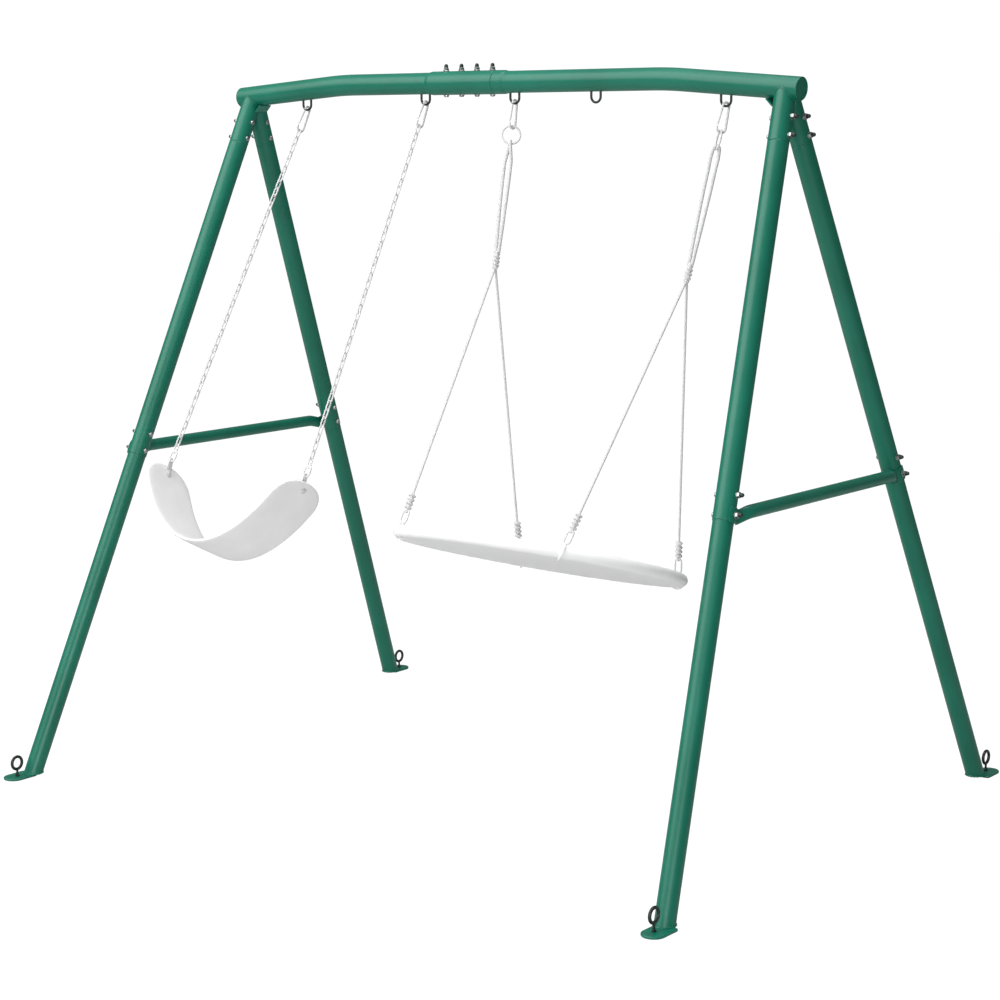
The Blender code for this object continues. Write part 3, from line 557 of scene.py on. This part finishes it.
def lower_leg(corner, side, face):
    """The tube down to its foot plate, the weld round it, and the plate."""
    shape = Shape()
    matrix = leg_frame(side, face)
    down = -(matrix.to_3x3() @ UP)
    inside = 0.012 - MID_SEAM
    top = [matrix @ Vector((LEG_INNER_R * cos(a), LEG_INNER_R * sin(a), inside)) for a in turns(56)]
    foot = [place + down * ((PLATE_T - 0.001 - place.z) / down.z) for place in top]
    shape.skin([top, foot])
    bead = [place + Vector((0, 0, 0.0015)) for place in foot]
    shape.wire(bead, [r * 1.5 for r in weld_radii(56, side * face)], 8, closed=True)
    foot_plate(shape, side, face)
    piece(f"{corner}_lower_leg", shape, ["green"], "frame", f"lower_leg_{corner}")


def foot_plate(shape, side, face):
    half, soft = PLATE_W / 2, 0.0012
    rings = []
    for height, inset in ((0, soft), (soft, 0), (PLATE_T - soft, 0), (PLATE_T, soft)):
        w, round_y = half - inset, PLATE_TIP_Y - half
        corner = 0.006
        outline = []
        for turn_at, start in (((-w + corner), pi), ((w - corner), 1.5 * pi)):
            for n in range(5):
                a = start + n * pi / 8
                outline.append((turn_at + corner * cos(a), PLATE_INNER_Y + inset + corner + corner * sin(a)))
        outline += [(w * cos(a), round_y + w * sin(a)) for a in (pi * n / 24 for n in range(25))]
        rings.append([Vector((side * PLATE_X + x, face * y, height)) for x, y in outline])
    shape.skin(rings)


def ground_anchor(corner, side, face):
    """An eye bolt in the foot plate, with the nut that holds it down."""
    shape = Shape()
    base = Matrix.Translation((side * ANCHOR_X, face * ANCHOR_Y, 0))
    matrix = base @ Matrix.Translation((0, 0, ANCHOR_EYE_Z)) @ Matrix.Rotation(pi / 2, 4, "Z")
    shape.wire(circle(matrix, ANCHOR_EYE_R, 40), ANCHOR_WIRE_R, 14, closed=True,
               normal=matrix.to_3x3() @ Vector((0, 1, 0)))
    shape.lathe([(ANCHOR_SHANK_R, -ANCHOR_EYE_Z + ANCHOR_EYE_R), (ANCHOR_SHANK_R, -0.0006)], base, 16)
    shape.lathe([(0.0052, -PLATE_T - 0.0044), (0.0058, -PLATE_T - 0.0038), (0.0058, -PLATE_T - 0.0008),
                 (0.0052, -PLATE_T - 0.0002)], base, 6)
    piece(f"{corner}_anchor", shape, ["black"], "frame", f"ground_anchor_{corner}")


def bolt(name, matrix, grip, extra, node):
    """Washer, nut and dark tip cap at local -Z, and a flanged head at +Z, round a tube."""
    shape = Shape()
    under = grip + extra + GAP
    high = under + WASHER[1]
    top = high + NUT[1]
    shape.lathe([(WASHER[0] - 0.0004, under), (WASHER[0], under + 0.0004), (WASHER[0], high - 0.0004),
                 (WASHER[0] - 0.0004, high)], matrix, 24)
    shape.lathe([(NUT[0] - 0.0008, high), (NUT[0], high + 0.0007), (NUT[0], top - 0.0007),
                 (NUT[0] - 0.0010, top)], matrix, 6)
    shape.lathe([(BOLT_R + 0.0012, top - 0.001), (BOLT_R + 0.0012, top + 0.0035),
                 (BOLT_R + 0.0008, top + 0.006), (BOLT_R - 0.0005, top + BOLT_TIP - 0.0012),
                 (0.0015, top + BOLT_TIP)], matrix, 16, slot=1)
    head = -grip - GAP
    shape.lathe([(0.0015, head - HEAD[1]), (HEAD[0] * 0.72, head - HEAD[1] + 0.0006),
                 (HEAD[0] * 0.84, head - HEAD[1] + 0.002), (HEAD[0] * 0.84, head - 0.0014),
                 (HEAD[0], head - 0.0012), (HEAD[0], head)], matrix, 20)
    piece(name, shape, ["zinc", "black"], "frame", node)


def leg_bolts(corner, side, face):
    along_x = Matrix.Rotation(-pi / 2, 4, "Y")
    places = zip(("socket_a", "socket_b", "mid_a", "mid_b"), SOCKET_BOLTS + MID_BOLTS)
    for place, down in places:
        extra = BRACE_PLATE[0] + GAP if place == "mid_b" else 0.0
        matrix = leg_frame(side, face) @ Matrix.Translation((0, 0, -down)) @ along_x
        bolt(f"{corner}_{place}", matrix, LEG_R, extra, f"bolt_{place}_{corner}")


def brace(label, side):
    shape = Shape()
    shape.skin(brace_end(side, -1) + [list(ring) for ring in reversed(brace_end(side, 1))])
    piece(f"{label}_brace", shape, ["green"], "frame", f"brace_{label}")


def squarish(value):
    return (1 if value > 0 else -1) * abs(value) ** 0.45


def brace_end(side, face):
    """Rings from a brace's tip, round the leg, to where its round tube starts."""
    matrix = leg_frame(side, face)
    thick, tall = BRACE_PLATE
    inner = LEG_R + GAP
    towards = -1 if (matrix.to_3x3() @ Vector((0, 1, 0))).y * face > 0 else 1
    angles = [a + pi / 32 for a in turns(32)]
    rings = []
    for share in (-1.0, -0.97, -0.9, -0.75, -0.5, -0.25, 0, 0.25, 0.5, 0.75, 1.0):
        angle = share * BRACE_WRAP * towards
        half = tall / 2 * min(1, 0.55 + 0.45 * sqrt(max(0, (share + 1) / 0.25))) if share < -0.7 else tall / 2
        ring = []
        for a in angles:
            out = inner + thick / 2 + thick / 2 * squarish(cos(a))
            local = Vector((out * cos(angle), out * sin(angle), half * squarish(sin(a)) - MID_BOLTS[1]))
            ring.append(matrix @ local)
        rings.append(ring)
    centre = matrix @ Vector((inner + thick / 2, 0, -MID_BOLTS[1]))
    spot = Vector((centre.x, centre.y - face * 0.066, centre.z))
    tube = [spot + BRACE_R * Vector((side * cos(a), 0, sin(a))) for a in angles]
    wrap_way = (sum(rings[-1], Vector()) - sum(rings[-2], Vector())).normalized() * 0.045
    tube_way = Vector((0, -face, 0)) * 0.060
    flat = rings[-1]
    for step in range(1, 10):
        t = step / 10
        h = (2 * t**3 - 3 * t**2 + 1, t**3 - 2 * t**2 + t, -2 * t**3 + 3 * t**2, t**3 - t**2)
        rings.append([h[0] * p + h[1] * wrap_way + h[2] * q + h[3] * tube_way for p, q in zip(flat, tube)])
    return rings + [tube]


def beam_hook(number, x):
    shape = Shape()
    z = beam_z(x)
    bottom, top = z - HOOK_DROP + HOOK_HALF, z - BEAM_R + 0.008
    bow = [Vector((x + HOOK_HALF * cos(a), 0, bottom + HOOK_HALF * sin(a)))
           for a in (pi + pi * n / 20 for n in range(21))]
    points = [Vector((x - HOOK_HALF, 0, top))] + bow + [Vector((x + HOOK_HALF, 0, top))]
    shape.wire(points, HOOK_WIRE_R, 14, normal=Vector((0, 1, 0)))
    piece(f"hook_{number}", shape, ["black"], "frame", f"beam_hook_{number}")


# ---- snap hooks ----
def arc(centre, radius, start, end, count):
    """Points in the local YZ plane. An angle of 0 is straight up, and pi/2 is +Y."""
    angles = [start + (end - start) * n / (count - 1) for n in range(count)]
    return [centre + radius * Vector((0, sin(a), cos(a))) for a in angles]


def snap_hook(name, matrix, body, node):
    low = Vector((0, 0, -SNAP_BOW_DOWN))
    points = arc(Vector(), SNAP_TOP_R, radians(-100), radians(82), 18)
    points += arc(low, SNAP_BOW_R, radians(84), radians(268), 18)
    points.append(low + Vector((0, -SNAP_BOW_R, 0.0012)))
    shape = Shape()
    shape.wire([matrix @ p for p in points], SNAP_WIRE_R, 14, normal=matrix.to_3x3() @ Vector((1, 0, 0)))
    piece(name, shape, ["steel"], body, node)


def snap_gate(name, matrix, node):
    """The gate's rod, with the pin that it turns on."""
    pivot = Vector((0, -SNAP_BOW_R, -GATE_PIVOT_DOWN))
    top = Vector((0, -SNAP_TOP_R, -GATE_TOP_DOWN))
    shape = Shape()
    points = [pivot.lerp(top, t) for t in (0, 0.06, 0.5, 0.94, 1)]
    radii = [GATE_R * 0.8, GATE_R, GATE_R, GATE_R, GATE_R * 0.8]
    shape.wire([matrix @ p for p in points], radii, 14)
    pin = [matrix @ (pivot + Vector((x, 0, 0.0015))) for x in (-0.0034, -0.003, 0.003, 0.0034)]
    shape.wire(pin, [0.0008, 0.0013, 0.0013, 0.0008], 10)
    piece(name, shape, ["steel"], node, node)


# ---- belt swing ----
def pivot_at(x):
    return Vector((x, 0, beam_z(x) - HOOK_DROP))


def swing_matrix(hooks, angle):
    """A swing's own frame, halfway between its hooks, and the hooks' places in it."""
    pivots = [pivot_at(x) for x in hooks]
    matrix = Matrix.Translation((pivots[0] + pivots[1]) / 2) @ Matrix.Rotation(-angle, 4, "X")
    return matrix, [matrix.inverted() @ p for p in pivots]


def catenary_size():
    low, high = 0.05, 2.0
    for _ in range(60):
        size = (low + high) / 2
        sag = size * (cosh(BELT_HALF_CHORD / size) - 1)
        low, high = (size, high) if sag > BELT_SAG else (low, size)
    return size


def belt_point(s, size):
    """Place and direction in the belt's XZ plane at s metres of belt from its middle."""
    half = size * sinh(BELT_HALF_CHORD / size)
    inside = max(-half, min(half, s))
    x = size * log(inside / size + sqrt((inside / size) ** 2 + 1))
    place = Vector((x, 0, size * (cosh(x / size) - 1) - BELT_SAG - BELT_RIVET_DOWN))
    along = Vector((1, 0, sinh(x / size))).normalized()
    return place + along * (s - inside), along


def belt_half_width(s, length):
    left = max(0.0, length - abs(s))
    if left >= BELT_ROUND:
        return BELT_W / 2
    return BELT_W / 2 * (1 - (1 - left / BELT_ROUND) ** 2.4) ** (1 / 2.4)


def belt_seat(matrix):
    """The belt, with rounded edges and a slightly thinner rim than its middle."""
    size = catenary_size()
    length = size * sinh(BELT_HALF_CHORD / size) + BELT_TIP
    straight = length - BELT_ROUND
    stations = [straight * n / 36 for n in range(-36, 37)]
    tip = [straight + BELT_ROUND * sin(pi / 2 * n / 14) for n in range(1, 15)]
    tip[-1] -= 0.0006
    stations = [-s for s in reversed(tip)] + stations + tip
    rings = []
    for s in stations:
        place, along = belt_point(s, size)
        out = Vector((-along.z, 0, along.x))
        half = belt_half_width(s, length)
        ring = []
        for a in turns(36):
            across = (1 if cos(a) > 0 else -1) * abs(cos(a)) ** (0.35 if half > 0.02 else 0.7)
            thick = (1 if sin(a) > 0 else -1) * abs(sin(a)) ** 0.55
            edge = max(0.0, abs(across) * half - half + 0.004) / 0.004
            depth = thick * (BELT_T / 2 - 0.0002 * edge)
            ring.append(matrix @ (place + Vector((0, across * half, 0)) + out * depth))
        rings.append(ring)
    shape = Shape().skin(rings)
    piece("belt", shape, ["rubber"], "belt_seat", "belt_seat")


def rivet_frame(side):
    """Local Z is the belt's normal at its rivet, pointing in towards the sitter."""
    size = catenary_size()
    place, along = belt_point(side * size * sinh(BELT_HALF_CHORD / size), size)
    normal = Vector((-along.z, 0, along.x))
    return frame_at(place, -normal, Vector((0, 1, 0)))


def hanger_eye(side):
    place = rivet_frame(side).translation
    return Vector((place.x - side * 0.002, 0, place.z + EYE_UP))


def seat_hanger(label, side, matrix):
    """The steel tab that is riveted to the belt, with a raised rim round its eye."""
    rivet = rivet_frame(side)
    face = BELT_T / 2 + GAP
    normal = rivet.to_3x3() @ UP
    eye = hanger_eye(side)
    foot = rivet.translation + normal * (face + 0.0015)
    along = Vector((normal.z, 0, -normal.x)) * (1 if side > 0 else -1)
    spine = [foot - along * 0.011, foot - along * 0.0098, foot - along * 0.006, foot, foot + along * 0.009,
             Vector((eye.x - 0.0005 * side, 0, eye.z - 0.014)), Vector((eye.x, 0, eye.z - 0.006)),
             Vector((eye.x, 0, eye.z + 0.003)), Vector((eye.x, 0, eye.z + 0.0068)),
             Vector((eye.x, 0, eye.z + 0.008))]
    widths = (0.004, 0.007, 0.009, 0.0092, 0.009, 0.0084, 0.0078, 0.0074, 0.0058, 0.0036)
    rings = []
    for n, (place, half) in enumerate(zip(spine, widths)):
        way = (spine[min(n + 1, 9)] - spine[max(n - 1, 0)]).normalized()
        out = Vector((way.z, 0, -way.x)) * 0.0013
        rings.append([matrix @ (place + Vector((0, half * squarish(cos(a)), 0)) + out * squarish(sin(a)))
                      for a in turns(20)])
    shape = Shape().skin(rings)
    rim = Matrix.Translation(eye) @ Matrix.Rotation(pi / 2, 4, "Z")
    shape.wire([matrix @ p for p in circle(rim, 0.0047, 24)], 0.0016, 10, closed=True,
               normal=matrix.to_3x3() @ Vector((1, 0, 0)))
    dome = [(0.0066, -face - 0.0029), (0.0064, -face - 0.0037), (0.0050, -face - 0.0048),
            (0.0010, -face - 0.0054)]
    shape.lathe(dome, matrix @ rivet, 24)
    back = [(0.0080, face), (0.0078, face + 0.0010), (0.0060, face + 0.0024), (0.0010, face + 0.0030)]
    shape.lathe(back, matrix @ rivet, 24)
    piece(f"hanger_{label}", shape, ["steel"], "belt_seat", f"seat_hanger_{label}")


def belt_chain(label, matrix, reach):
    """Every link from the snap hook down to the larger last one."""
    shape = Shape()
    top = SNAP_BOW_DOWN + SNAP_BOW_R - SNAP_WIRE_R - CHAIN_WIRE_R - 0.0006
    bottom = reach - BIG_LINK[1] + BIG_WIRE_R + CHAIN_WIRE_R
    height = TOP_LINK[1]
    count = 2 * round((bottom - top - height) / CHAIN_PITCH / 2) + 1
    pitch = (bottom - top - height) / (count - 1)
    link = pitch + 2 * CHAIN_WIRE_R
    for n in range(count):
        turn = matrix @ Matrix.Rotation(0 if n % 2 == 0 else pi / 2, 4, "Z")
        centre = top + height / 2 + n * pitch
        normal = turn.to_3x3() @ Vector((0, 1, 0))
        shape.wire(stadium(turn, TOP_LINK[0], link, centre, 7), CHAIN_WIRE_R, 8, closed=True, normal=normal)
    big = stadium(matrix, BIG_LINK[0], BIG_LINK[1], reach - BIG_LINK[1] / 2, 12)
    shape.wire(big, BIG_WIRE_R, 12, closed=True, normal=matrix.to_3x3() @ Vector((0, 1, 0)))
    piece(f"chain_{label}", shape, ["steel"], "belt_swing", f"belt_chain_{label}")


def make_belt_swing():
    swing, pivots = swing_matrix(HOOKS_X[:2], BELT_ANGLE)
    eyes = Matrix.Translation((0, 0, hanger_eye(1).z))
    seat = swing @ eyes @ Matrix.Rotation(BELT_PITCH, 4, "X") @ eyes.inverted()
    belt_seat(seat)
    for side, label, pivot in ((-1, "left", pivots[0]), (1, "right", pivots[1])):
        eye = hanger_eye(side)
        matrix = swing @ frame_at(pivot, eye - pivot, Vector((1, 0, 0)))
        snap_hook(f"belt_hook_{label}", matrix, "belt_swing", f"belt_snap_hook_{label}")
        snap_gate(f"belt_gate_{label}", matrix, f"belt_snap_gate_{label}")
        belt_chain(label, matrix, (eye - pivot).length)
        seat_hanger(label, side, seat)


# ---- saucer swing ----
def rope_foot(side, face):
    return Vector((side * SAUCER_R * cos(ROPE_AT), face * SAUCER_R * sin(ROPE_AT), -SAUCER_RING_DOWN))


def saucer_ring(swing):
    """The tube in its fabric sleeve, with the sleeve's seam on the front."""
    shape = Shape()
    matrix = swing @ Matrix.Translation((0, 0, -SAUCER_RING_DOWN))
    rings = []
    for a in turns(240):
        out = Vector((cos(a), sin(a), 0))
        seam = abs(((a - SEAM_AT + pi) % (2 * pi)) - pi) * SAUCER_R
        pull = 0.0007 * max(0.0, 1 - seam / 0.006)
        ripple = 0.0007 * noise.noise(Vector((16 * out.x, 16 * out.y, 0)))
        radius = SAUCER_TUBE_R - pull + ripple
        rings.append([matrix @ (out * (SAUCER_R + radius * cos(b)) + Vector((0, 0, radius * sin(b))))
                      for b in turns(28)])
    shape.skin(rings, closed=True)
    ring = piece("ring_sleeve", shape, ["fabric"], "saucer_swing", "saucer_ring")


def saucer_cover(swing):
    """The cover's two layers, which leave the ring's top and underside and draw in a little."""
    matrix = swing @ Matrix.Translation((0, 0, -SAUCER_RING_DOWN))
    section = [(0.0, 0.0040), (0.10, 0.0041), (0.20, 0.0048), (0.27, 0.0066), (0.31, 0.0093),
               (0.330, 0.0121), (0.338, 0.0135), (0.341, 0.0128), (0.341, -0.0130), (0.338, -0.0139),
               (0.330, -0.0134), (0.31, -0.0126), (0.27, -0.0115), (0.20, -0.0105), (0.10, -0.0101),
               (0.0, -0.0100)]
    shape = Shape()
    rings = []
    for r, z in section:
        ring = []
        for a in turns(144):
            out = Vector((cos(a), sin(a), 0))
            fold = 0.0006 * min(1.0, r / 0.15) * noise.noise(Vector((5 * out.x, 5 * out.y, 9 * r)))
            ring.append(matrix @ (out * max(r, 0.002) + Vector((0, 0, z + (fold if r < 0.335 else 0)))))
        rings.append(ring)
    shape.skin(rings)
    cover = piece("saucer_cover", shape, ["fabric"], "saucer_swing", "saucer_mat")


def oring_drop():
    inside = SNAP_BOW_DOWN + SNAP_BOW_R - SNAP_WIRE_R - ORING_WIRE_R - 0.0006
    return inside + ORING_R


def o_ring(label, matrix, turn):
    shape = Shape()
    place = matrix @ Matrix.Translation((0, 0, -oring_drop())) @ Matrix.Rotation(turn, 4, "Z")
    shape.wire(circle(place, ORING_R, 56), ORING_WIRE_R, 14, closed=True,
               normal=place.to_3x3() @ Vector((0, 1, 0)))
    piece(f"o_ring_{label}", shape, ["steel"], "saucer_swing", f"saucer_o_ring_{label}")


def loop_points(turn):
    """The doubled rope: up from the knot, through the o-ring, and down to the knot again."""
    bend = ORING_WIRE_R + LOOP_ROPE_R + 0.0004
    start = oring_drop() + ORING_R
    first, last = turn + pi / 2, 0.0
    if abs(first - last) > pi / 2:
        last = pi
    run = []
    for n in range(1, 13):
        share = n / 12
        angle = first + (last - first) * min(1.0, share * 6)
        spread = bend * (1 - share) + 0.0047 * share + 0.0034 * sin(pi * share ** 0.6)
        low = -start - (KNOT_DOWN - 0.022 - start) * share
        run.append((spread * Vector((cos(angle), sin(angle), 0)), low))
    across = Vector((cos(first), sin(first), 0))
    angles = [pi * k / 10 for k in range(11)]
    bow = [bend * cos(a) * across + Vector((0, 0, bend * sin(a) - start)) for a in angles]
    up = [offset + Vector((0, 0, z)) for offset, z in reversed(run)]
    return up + bow + [Vector((0, 0, z)) - offset for offset, z in run]


def rope(name, points, radius):
    """A rope along points."""
    shape = Shape()
    shape.wire(points, radius, 14)
    obj = piece(name, shape, ["rope"], "saucer_swing")
    return obj


def knot(shape, matrix):
    """Turns of rope wound round the strands, above and below a fatter crossing."""
    points = []
    for n in range(97):
        share = n / 96
        a = 2 * pi * 4.0 * share
        swell = 0.0052 + 0.0014 * sin(pi * share)
        points.append(matrix @ Vector((swell * cos(a), swell * sin(a), -KNOT_DOWN + 0.020 - 0.040 * share)))
    shape.wire(points, 0.0029, 10)
    core = [matrix @ Vector((0, 0, -KNOT_DOWN + z)) for z in (0.026, 0.020, 0, -0.018, -0.024)]
    shape.wire(core, [0.0040, 0.0056, 0.0062, 0.0054, 0.0034], 14)


def adjuster(shape, matrix, reach):
    """Four thick turns wound on the rope, and the link below them."""
    middle = reach - ADJUSTER_UP
    radius, height = ADJUSTER
    half = height / 2
    core = matrix @ Matrix.Translation((0, 0, -middle))
    shape.lathe([(ROPE_R, -half - 0.002), (0.0055, -half + 0.001), (0.0060, 0), (0.0055, half - 0.001),
                 (ROPE_R, half + 0.002)], core, 20)
    turn_r = 0.0030
    pitch = (height - 2 * turn_r) / 3
    for n in range(4):
        rib = core @ Matrix.Translation((0, 0, half - turn_r - pitch * n))
        rib = rib @ Matrix.Rotation(radians(7), 4, "Y") @ Matrix.Rotation(pi / 2, 4, "X")
        shape.wire(circle(rib, radius - turn_r, 28), turn_r, 10, closed=True,
                   normal=rib.to_3x3() @ Vector((0, 1, 0)))
    tail = [matrix @ Vector((0, 0, -middle - z)) for z in (half - 0.002, half + 0.004, half + 0.010)]
    shape.wire(tail, ROPE_R * 1.15, 12)
    top, bottom = middle + half + 0.004, reach - STRAP_R - 0.002
    link = stadium(matrix, 0.0088, bottom - top, (top + bottom) / 2, 12)
    shape.wire(link, 0.0024, 12, closed=True, slot=1, normal=matrix.to_3x3() @ Vector((0, 1, 0)))


def strap(foot, way):
    """The line of a loop round the ring, drawn up to a point at its link, and its normal."""
    tangent = Vector((-foot.y, foot.x, 0)).normalized()
    along = way.normalized()
    normal = (tangent - tangent.dot(along) * along).normalized()
    across = along.cross(normal)
    points = []
    for n in range(33):
        a = radians(-142 + 284 * n / 32)
        points.append(foot + STRAP_R * 0.96 * (cos(a) * along + sin(a) * across))
    points.append(foot - along * 0.0245)
    return points, normal


def make_harness(label, side, matrix, turn, swing):
    loop = [matrix @ p for p in loop_points(turn)]
    rope(f"rope_loop_{label}", loop, LOOP_ROPE_R)
    shape = Shape()
    knot(shape, matrix)
    centre = matrix @ Vector((0, 0, -KNOT_DOWN - 0.014))
    for face, end in ((-1, "front"), (1, "back")):
        foot = rope_foot(side, face)
        world_foot = swing @ foot
        way = world_foot - centre
        reach = way.length
        run = frame_at(centre, way, Vector((1, 0, 0)))
        stop = reach - ADJUSTER_UP - ADJUSTER[1] / 2
        points = [run @ Vector((0, 0, -0.006 - (stop - 0.006) * n / 16)) for n in range(17)]
        rope(f"rope_{label}_{end}", points, ROPE_R)
        adjuster(shape, run, reach)
        local_way = swing.to_3x3().inverted() @ way
        loop_line, normal = strap(foot, local_way)
        shape.wire([swing @ p for p in loop_line], 0.0021, 10, closed=True, slot=2,
                   normal=swing.to_3x3() @ normal)
    looks = ["rope", "steel", "fabric"]
    piece(f"rope_fittings_{label}", shape, looks, "saucer_swing", f"saucer_rope_{label}")


def make_saucer_swing():
    swing, pivots = swing_matrix((HOOKS_X[2], HOOKS_X[4]), SAUCER_ANGLE)
    sides = zip((-1, 1), ("left", "right"), pivots, ORING_TURNS, SAUCER_HOOK_TURNS)
    for side, label, pivot, turn, hook_turn in sides:
        target = Vector((side * SAUCER_R * cos(ROPE_AT), 0, -SAUCER_RING_DOWN))
        matrix = swing @ frame_at(pivot, target - pivot, Vector((1, 0, 0)))
        make_harness(label, side, matrix, turn, swing)
        hook = matrix @ Matrix.Rotation(hook_turn, 4, "Z")
        snap_hook(f"saucer_hook_{label}", hook, "saucer_swing", f"saucer_snap_hook_{label}")
        snap_gate(f"saucer_gate_{label}", hook, f"saucer_snap_gate_{label}")
        o_ring(label, matrix, turn)
    saucer_ring(swing)
    saucer_cover(swing)


def make_frame():
    for label, side in (("left", -1), ("right", 1)):
        beam_half(label, side)
        brace(label, side)
        for facing, face in (("front", -1), ("back", 1)):
            corner = f"{label}_{facing}"
            upper_leg(corner, side, face)
            lower_leg(corner, side, face)
            ground_anchor(corner, side, face)
            leg_bolts(corner, side, face)
    upside_down = Matrix.Rotation(pi, 4, "X")
    for n, x in enumerate(BEAM_BOLTS_X, 1):
        matrix = Matrix.Translation(beam_at(x)) @ upside_down
        bolt(f"sleeve_bolt_{n}", matrix, SLEEVE_R, 0.0, f"beam_bolt_{n}")
    for n, x in enumerate(HOOKS_X, 1):
        beam_hook(n, x)


make_camera()
MATERIALS = make_materials()
make_saucer_swing()
make_belt_swing()
make_frame()
make_floor()
make_world()
area_light("key", (-2.6, -4.6, 5.8), (0, 0, 1.0), 8.5, 620)
area_light("top", (0.4, 0.2, 6.5), (0, 0, 1.0), 3.5, 170)
area_light("fill", (4.4, -6.2, 1.2), (0, 0, 0.9), 4.0, 255)
bpy.context.scene.view_settings.view_transform = "Standard"
